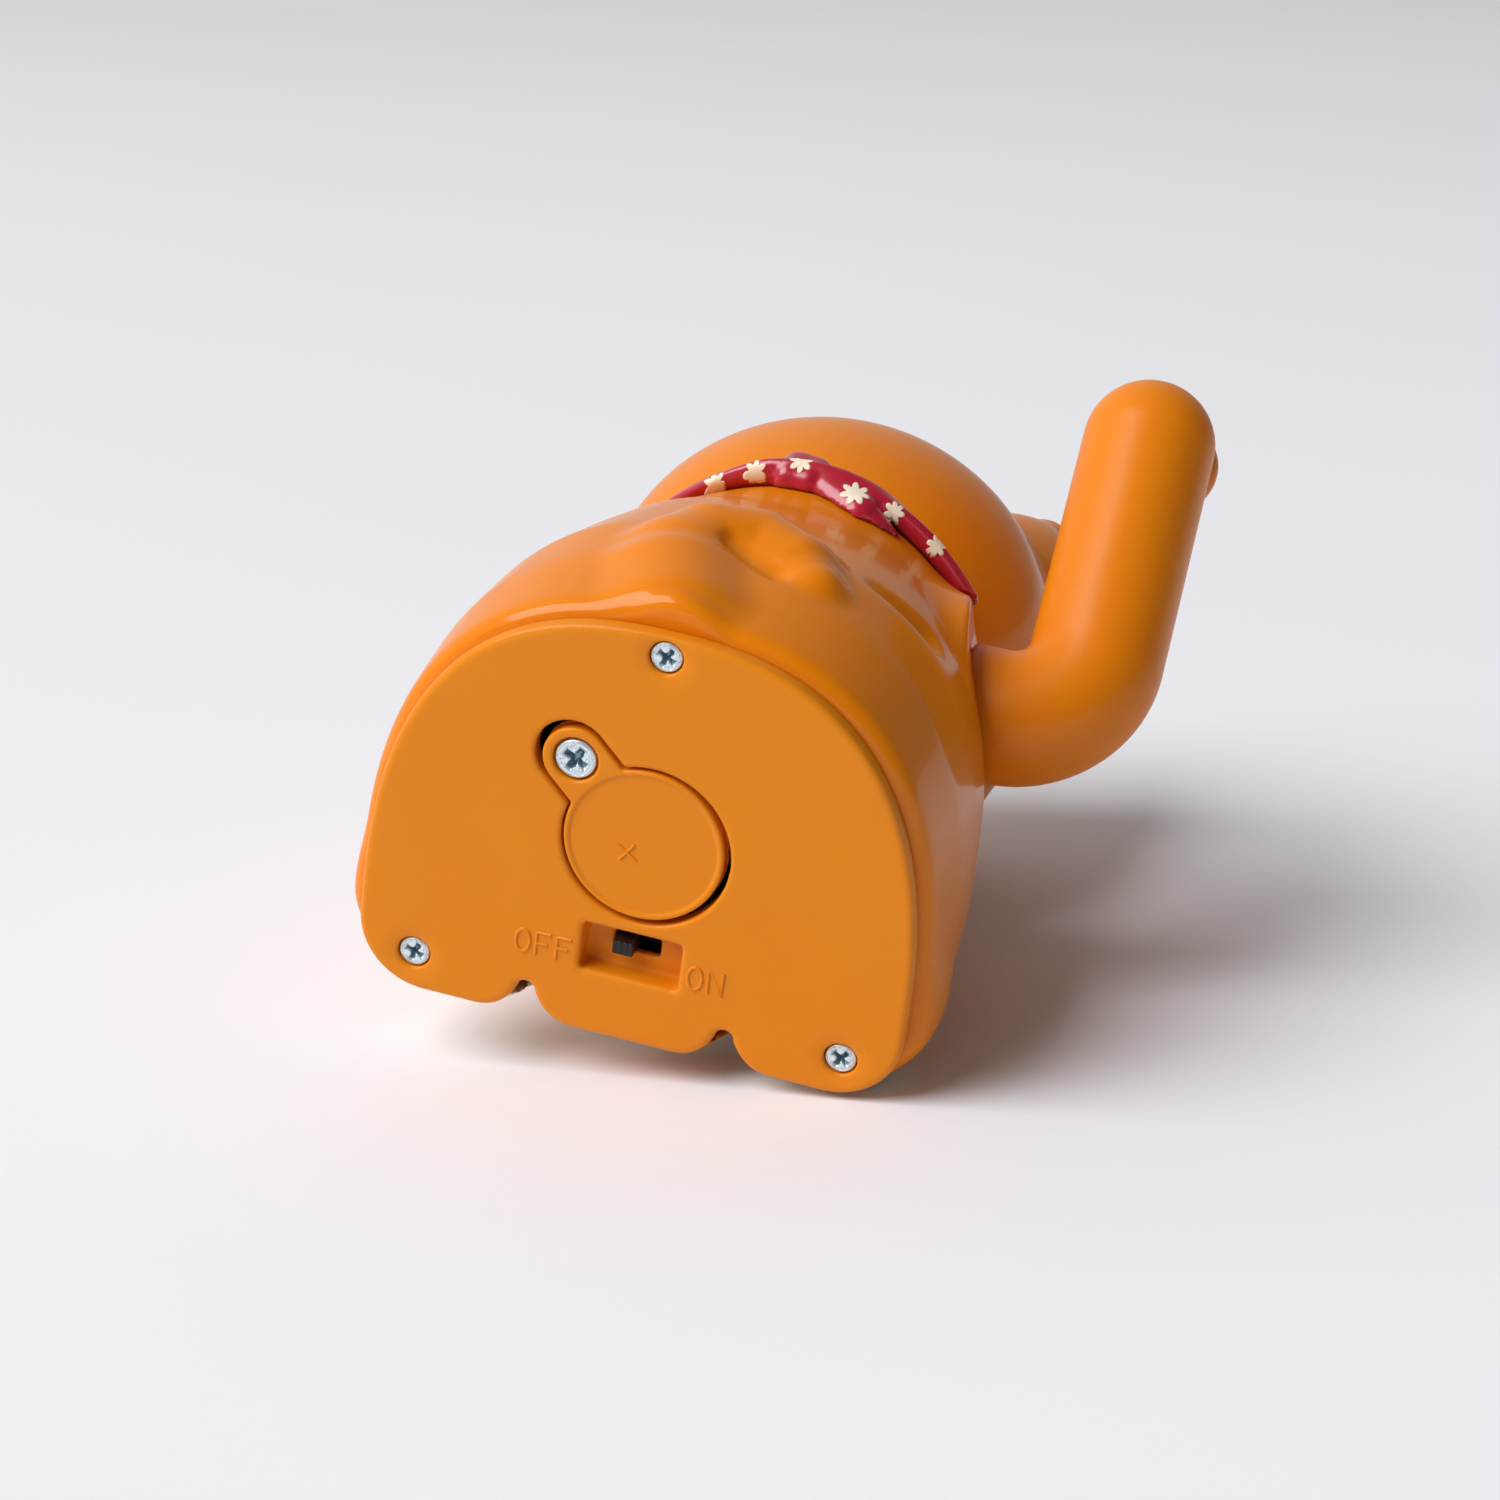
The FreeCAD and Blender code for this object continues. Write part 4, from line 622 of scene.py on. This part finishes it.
def head_form(p):
    """Distance from the hollow head."""
    twin = mirror(p)
    # Cheeks and muzzle
    form = join(ball(p, head_spot, head_radii), ball(twin, (9.5, -24.0, 62.5), (10.5, 9.0, 8.5)), 4.0)
    form = join(form, ball(p, (0.0, -30.0, 63.4), (9.4, 7.8, 6.6)), 3.0)
    # Ears, thinner than they are wide and dished in front
    flattened = twin * (1, 1.5, 1) + (0, 2.7, 0)
    ear = rod(flattened, (14.8, -5.4, 86.5), (18.4, -5.4, 97.8), 7.6, 2.8) / 1.3
    ear = join(ball(twin, (15.2, -5.4, 88.0), (7.6, 4.4, 9.0)), ear, 3.0)
    form = join(form, cut(ear, ball(twin, (16.3, -10.6, 90.6), (4.4, 3.2, 6.4)), 0.8), 2.0)
    # Mouth
    form = cut(form, rod(twin, (0.0, -38.0, 61.6), (4.6, -36.6, 60.2), 0.55, 0.4), 0.4)
    form = cut(form, rod(p, (0.0, -38.4, 65.0), (0.0, -38.0, 61.6), 0.5, 0.5), 0.4)
    # Spigot and hollow
    form = np.minimum(form, disc(p, head_spot, spigot_radius, spigot_low, 52.0, 0.2))
    form = cut(form, ball(p, head_spot, head_radii - head_wall), 0.2)
    return cut(form, disc(p, head_spot, spigot_bore, 40.0, 60.0, 0.2), 0.2)


def face_paint(p):
    """The cream muzzle, cheeks and brow spots, and the insides of the ears."""
    twin = mirror(p)
    muzzle = ball(twin, (8.0, -30.0, 59.5), (13.0, 14.0, 8.8))
    brow = ball(twin, (8.2, -33.0, 80.2), (2.6, 6.0, 1.8))
    ears = ball(twin, (16.3, -10.8, 90.8), (4.6, 3.4, 6.8))
    return np.minimum(np.minimum(muzzle, brow), ears)


head = skin("head_moulding", head_form, (-28, -41, 44), (28, 16, 103), 0.5)
painted("cream", face_paint, head)
fit(head, "figure", "orange_gloss", orange_lacquer, "head_shell")


# Eyes and nose. Small oval bosses moulded on the face, each under a drop of black gloss paint that
# is dabbed on by hand and rounds over as it dries.
def bead(name, spot, radii):
    """One oval boss."""
    reach = np.array(radii) + 0.5
    return skin(name, lambda p: ball(p, spot, radii), spot - reach, spot + reach, 0.35)


# Gloss paint: a wet-looking black with one small sharp highlight
gloss_black = grained("gloss black paint", "#0C0A0A", "#1A1614", 2.0, 0.6, 0.004, Roughness=0.12)
for name, side in (("eye_left", 1), ("eye_right", -1)):
    fit(bead(name, (side * 9.6, -32.0, 72.6), (2.3, 1.5, 2.9)), "figure", "black_plastic", gloss_black)
fit(bead("nose", (0.0, -37.2, 66.8), (3.2, 1.9, 2.3)), "figure", "black_plastic", gloss_black)

# Bandana. A moulded neckerchief in crimson plastic, snapped round the neck: a rolled band with a bib on
# the chest and a knot with one loose end behind, printed with small cream blossoms.
band_middle, band_half = 47.8, 2.7
bib_point, bib_wide, bib_tall, bib_top = 33.0, 15.0, 18.6, 50.0


def bandana_form(p):
    """Distance from the neckerchief: band, bib, knot and loose end."""
    x, y, z = np.moveaxis(p, -1, 0)
    out = trunk(p)
    # The band is fuller behind and thins out on both sides of the knot
    behind = np.clip((y + 6.0) / 14.0, 0, 1)
    taper = 0.75 * np.clip((x - 3.5) / 9.3, 0, 1) + 0.5 * np.clip((-8.0 - x) / 9.0, 0, 1)
    plump = 0.9 + behind * (1.0 - taper)
    twist = 0.14 * np.sin(2.6 * (z - band_middle) + 11.0 * np.arctan2(x, y + 10.0))
    across = np.stack([out - 0.85 * plump, z - band_middle], -1)
    band = ball(across, (0.0, 0.0), np.stack([plump, np.full_like(plump, band_half)], -1)) - twist
    bib_side = (np.abs(x) * bib_tall - bib_wide * (z - bib_point)) / math.hypot(bib_tall, bib_wide)
    bib = both(both(bib_side, z - bib_top, 0.5), np.abs(out - 1.0) - 0.85, 0.6)
    bib = np.maximum(bib, y + 10.8)
    knot = block(p, (-3.0, 15.0, 44.2), (2.4, 20.4, 50.0), 1.7)
    knot = knot - 0.06 * np.sin(1.9 * (x + 0.35 * z))
    loose = chain(p, [((-2.6, 18.4, 46.2), 1.9), ((-7.0, 17.0, 44.4), 2.4), ((-12.6, 14.8, 43.2), 0.35)])
    form = join(join(join(band, bib, 0.6), loose, 0.35), knot, 0.2)
    # It clears the shoulder, the body and the head
    form = cut(form, side_disc(p, shoulder_spot, shoulder_radius + 0.5, OUTSIDE, 0.0, 0.05), 0.2)
    form = np.maximum(form, 0.15 - out)
    return cut(form, ball(p, head_spot, head_radii + 0.15), 0.1)


# Crimson plastic under a thin clear coat: a full red with soft highlights along the folds
crimson = grained("crimson gloss plastic", "#A8142C", "#C01F3A", 5.0, 0.5, 0.01, Roughness=0.3,
                  Coat_Weight=0.4, Coat_Roughness=0.15)
kerchief = skin("bandana_moulding", bandana_form, (-27, -28, 32), (27, 22, 54), 0.33)
fit(kerchief, "figure", "red_plastic", crimson, "bandana")

# Blossoms. Seven-petal prints in cream ink that follow the folds of the neckerchief, pad-printed after
# moulding and a few hundredths of a millimetre proud of it.
petals, petal_rings, petal_sides = 7, 5, 56
ink_lift, ink_sink = 0.06, -0.2
press_from, press_run = 6.0, 9.0
ground = BVHTree.FromObject(kerchief, bpy.context.evaluated_depsgraph_get())


def blossom(name, spot, away, size, turn):
    """One printed blossom, pressed onto the neckerchief from the given side."""
    away = Vector(away).normalized()
    right = away.cross((0, 0, 1)).normalized()
    up = right.cross(away)

    def pressed(angle, far):
        """Where a point of the print meets the neckerchief, and which way that faces there."""
        where = Vector(spot) + (right * math.cos(angle) + up * math.sin(angle)) * far
        return ground.ray_cast((where + away * press_from) * MM, -away, press_run * MM)[:2]

    shares = [ring / petal_rings for ring in range(1, petal_rings + 1)]
    outline = []
    for k in range(petal_sides):
        angle = math.tau * k / petal_sides
        far = size / 2 * (0.42 + 0.58 * abs(math.cos(petals / 2 * (angle - turn))) ** 0.8)
        # A petal that would reach past the neckerchief ends at its edge
        while far > 0.02 and any(pressed(angle, far * share)[0] is None for share in shares):
            far *= 0.95
        outline.append((angle, far))
    points = []
    for lift in (ink_lift, ink_sink):
        for share in shares:
            for angle, far in outline:
                hit, normal = pressed(angle, far * share)
                points.append(hit + normal * lift * MM)
    under, rim = petal_rings * petal_sides, (petal_rings - 1) * petal_sides
    faces = [tuple(range(petal_sides))[::-1], tuple(range(under, under + petal_sides))]
    for k in range(petal_sides):
        after = (k + 1) % petal_sides
        for inner in range(0, rim, petal_sides):
            outer = inner + petal_sides
            quad = (inner + k, inner + after, outer + after, outer + k)
            faces.append(quad)
            faces.append(tuple(under + i for i in reversed(quad)))
        faces.append((rim + k, rim + after, under + rim + after, under + rim + k))
    return faced(name, points, faces)


# Cream ink: a flat warm white with a faint sheen
cream_ink = grained("cream ink", "#F2E2C4", "#FBF1DC", 1.5, 0.3, 0.004, Roughness=0.45)
# Place, side that it faces, size and turn of each blossom
BLOSSOMS = (
    ((8.1, 16.2, 45.2), (-0.1, 0.8, -0.6), 2.4, 0.2), ((4.1, 18.8, 45.0), (-0.1, 0.8, -0.6), 2.4, 0.5),
    ((-0.3, 20.4, 45.9), (0, 1, -0.2), 2.5, 0.1), ((-6.5, 19.4, 44.1), (-0.1, 0.9, -0.4), 3.1, 0.4),
    ((-10.5, 17.9, 45.0), (-0.2, 0.8, -0.6), 2.2, 0.3), ((-15.2, 15.1, 45.4), (-0.5, 0.7, -0.5), 2.2, 0.6),
    ((0.0, -26.0, 38.0), (0, -1, 0), 3.0, 0.2), ((5.0, -26.0, 44.5), (0.1, -1, 0), 3.2, 0.5),
    ((-4.6, -26.0, 44.0), (-0.1, -1, 0), 2.8, 0.1), ((0.4, -26.0, 48.4), (0, -1, 0), 2.6, 0.7),
    ((11.5, -24.0, 48.6), (0.4, -1, 0), 2.6, 0.3), ((-11.0, -24.0, 48.8), (-0.4, -1, 0), 2.6, 0.5),
    ((20.0, -8.0, 48.8), (1, 0, 0), 2.8, 0.2), ((-20.0, -14.0, 48.8), (-1, -0.2, 0), 2.6, 0.4),
)
for number, (spot, away, size, turn) in enumerate(BLOSSOMS):
    flower = blossom(f"blossom_{number + 1}", spot, away, size, turn)
    fit(flower, "figure", "red_plastic", cream_ink)

# Waving arm. A hollow bent foreleg with a round paw, moulded like the body but under a duller lacquer.
# Its open end runs half a millimetre off the shoulder, and its plug of satin ABS grips the axle.
arm_radius, arm_wall, bend_radius, fore_length = 6.8, 2.0, 8.2, 33.6
arm_open, bend_start = -21.1, -24.65
lean, tilt = math.radians(2.0), math.radians(38.4)
bend_angle = math.radians(90.0) + lean
bend_run = bend_radius * math.tan(bend_angle / 2)
elbow = np.array([bend_start - bend_run, 0.0, 0.0])
fore = np.array([math.sin(lean), 0.0, math.cos(lean)])
wrist = elbow + fore * bend_run
paw = elbow + fore * fore_length


def arm_frame(p):
    """Points in the arm's own frame, with the axle along X and the foreleg upright."""
    y, z = p[..., 1] - axle_spot[0], p[..., 2] - axle_spot[1]
    side, rise = y * math.cos(tilt) - z * math.sin(tilt), y * math.sin(tilt) + z * math.cos(tilt)
    return np.stack([p[..., 0], side, rise], -1)


def arm_tube(q, radius):
    """Distance from the bent tube of the given radius."""
    x, y, z = np.moveaxis(q, -1, 0)
    across, down = x - bend_start, bend_radius - z
    angle = np.arctan2(-across, down)
    bend = np.hypot(np.hypot(across, down) - bend_radius, y) - radius
    bend = np.where((angle > 0) & (angle < bend_angle), bend, np.inf)
    straight = rod(q, (-10.0, 0, 0), (bend_start, 0, 0), radius, radius)
    return np.minimum(np.minimum(bend, straight), rod(q, wrist, paw, radius, radius))


def arm_form(p):
    """Distance from the hollow arm with its palm."""
    q = arm_frame(p)
    palm = ball(q, paw - (2.4, arm_radius - 2.6, -0.4), (4.8, 3.0, 5.2))
    form = join(arm_tube(q, arm_radius), palm, 0.5)
    form = both(form, q[..., 0] - arm_open, 0.6)
    return cut(form, arm_tube(q, arm_radius - arm_wall), 0.2)


def arm_paint(p):
    """The cream palm."""
    return ball(arm_frame(p), paw - (2.4, arm_radius - 0.6, -0.4), (4.8, 3.4, 5.4))


# Duller lacquer, sprayed thinner: the same orange with only a soft broad sheen along the arm
dull_lacquer = lacquer("dull orange lacquer", 0.34)
arm = skin("arm_moulding", arm_form, (-42, -8, 29), (-20, 32, 76), 0.42)
painted("cream", arm_paint, arm)
fit(arm, "arm", "orange_gloss", dull_lacquer, "waving_arm")
dress(satin_abs, "arm_plug")

# Table, light and camera. A pale matt table under the lying figure, seen only from its upper side, soft
# daylight from the left, and a camera a third of a metre behind and below the figure.
right = Vector((-0.956, 0.1159, 0.2695))
up = Vector((0.2271, 0.8739, 0.4298))
back = right.cross(up)
pitch = math.radians(15.1)
table_up = (up * math.cos(pitch) + back * math.sin(pitch)).normalized()
table_across = table_up.cross(back).normalized()
table_toward = table_across.cross(table_up)
table_drop = min(table_up.dot(v.co) for piece in (body, head, arm, kerchief) for v in piece.data.vertices)
table_half = 3.0
table_corners = [table_up * table_drop + (table_across * a + table_toward * b) * table_half
                 for a, b in ((-1, -1), (1, -1), (1, 1), (-1, 1))]
table = faced("table", table_corners, [(0, 1, 2, 3)])
if table.data.polygons[0].normal.dot(table_up) < 0:
    table.data.flip_normals()
# Matt paint: a faintly clouded cold white that takes soft shadows and shows no reflection
table_paint = bpy.data.materials.new("pale matt table")
tree = bare_tree(table_paint)
where = add_node(tree, "ShaderNodeTexCoord", {}).outputs["Object"]
cloud = add_node(tree, "ShaderNodeTexNoise", {"Vector": where, "Scale": 6.0, "Detail": 2.0})
tone = add_node(tree, "ShaderNodeMix", {0: cloud.outputs["Fac"], 6: linear("#EFF0F4"), 7: linear("#F2F3F6")},
                data_type="RGBA")
matt = add_node(tree, "ShaderNodeBsdfDiffuse", {"Color": tone.outputs[2]})
clear = add_node(tree, "ShaderNodeBsdfTransparent", {})
side = add_node(tree, "ShaderNodeNewGeometry", {})
mixed = add_node(tree, "ShaderNodeMixShader", {0: side.outputs["Backfacing"], 1: matt.outputs[0],
                                               2: clear.outputs[0]})
add_node(tree, "ShaderNodeOutputMaterial", {"Surface": mixed.outputs[0]})
table.data.materials.append(table_paint)

# The room is brighter and cooler towards the window's side, and dim and warm on the other
world = bpy.data.worlds.new("pale room")
bpy.context.scene.world = world
tree = bare_tree(world)
bright_side = (table_across * -0.6 + table_up * 0.15 + table_toward * -0.78).normalized()
where = add_node(tree, "ShaderNodeTexCoord", {}).outputs["Generated"]
facing = add_node(tree, "ShaderNodeVectorMath", {0: where, 1: bright_side}, operation="DOT_PRODUCT")
share = add_node(tree, "ShaderNodeMapRange", {"Value": facing.outputs["Value"], "From Min": -0.2})
level = add_node(tree, "ShaderNodeMapRange", {"Value": share.outputs[0], "To Min": 0.08, "To Max": 0.8})
tone = add_node(tree, "ShaderNodeMix", {0: share.outputs[0], 6: linear("#EFE6DF"), 7: linear("#F2F4F6")},
                data_type="RGBA")
sky = add_node(tree, "ShaderNodeBackground", {"Color": tone.outputs[2], "Strength": level.outputs[0]})
add_node(tree, "ShaderNodeOutputWorld", {"Surface": sky.outputs[0]})

window_way = (table_across * -0.6 + table_up * 0.7 + table_toward * 0.38).normalized()
window_far, figure_middle = 4.0, Vector((0.0, 0.0, 0.045))
window = put("window", bpy.data.lights.new("window", "AREA"))
window.data.size = 2.9
window.data.energy = 184.0
window.data.color = linear("#FDFDFF")[:3]
window.location = figure_middle + window_way * window_far
window.rotation_euler = window_way.to_track_quat("Z", "Y").to_euler()

half_view = math.radians(11.0)
camera = put("camera", bpy.data.cameras.new("camera"))
camera.data.sensor_width = 36.0
camera.data.lens = camera.data.sensor_width / 2 / math.tan(half_view)
camera.data.clip_start, camera.data.clip_end = 0.01, 20.0
place = Matrix((right, up, back)).transposed().to_4x4()
place.translation = Vector((-73.49, 176.9, -300.11)) * MM
camera.matrix_world = place
bpy.context.scene.camera = camera
bpy.context.scene.view_settings.view_transform = "Standard"
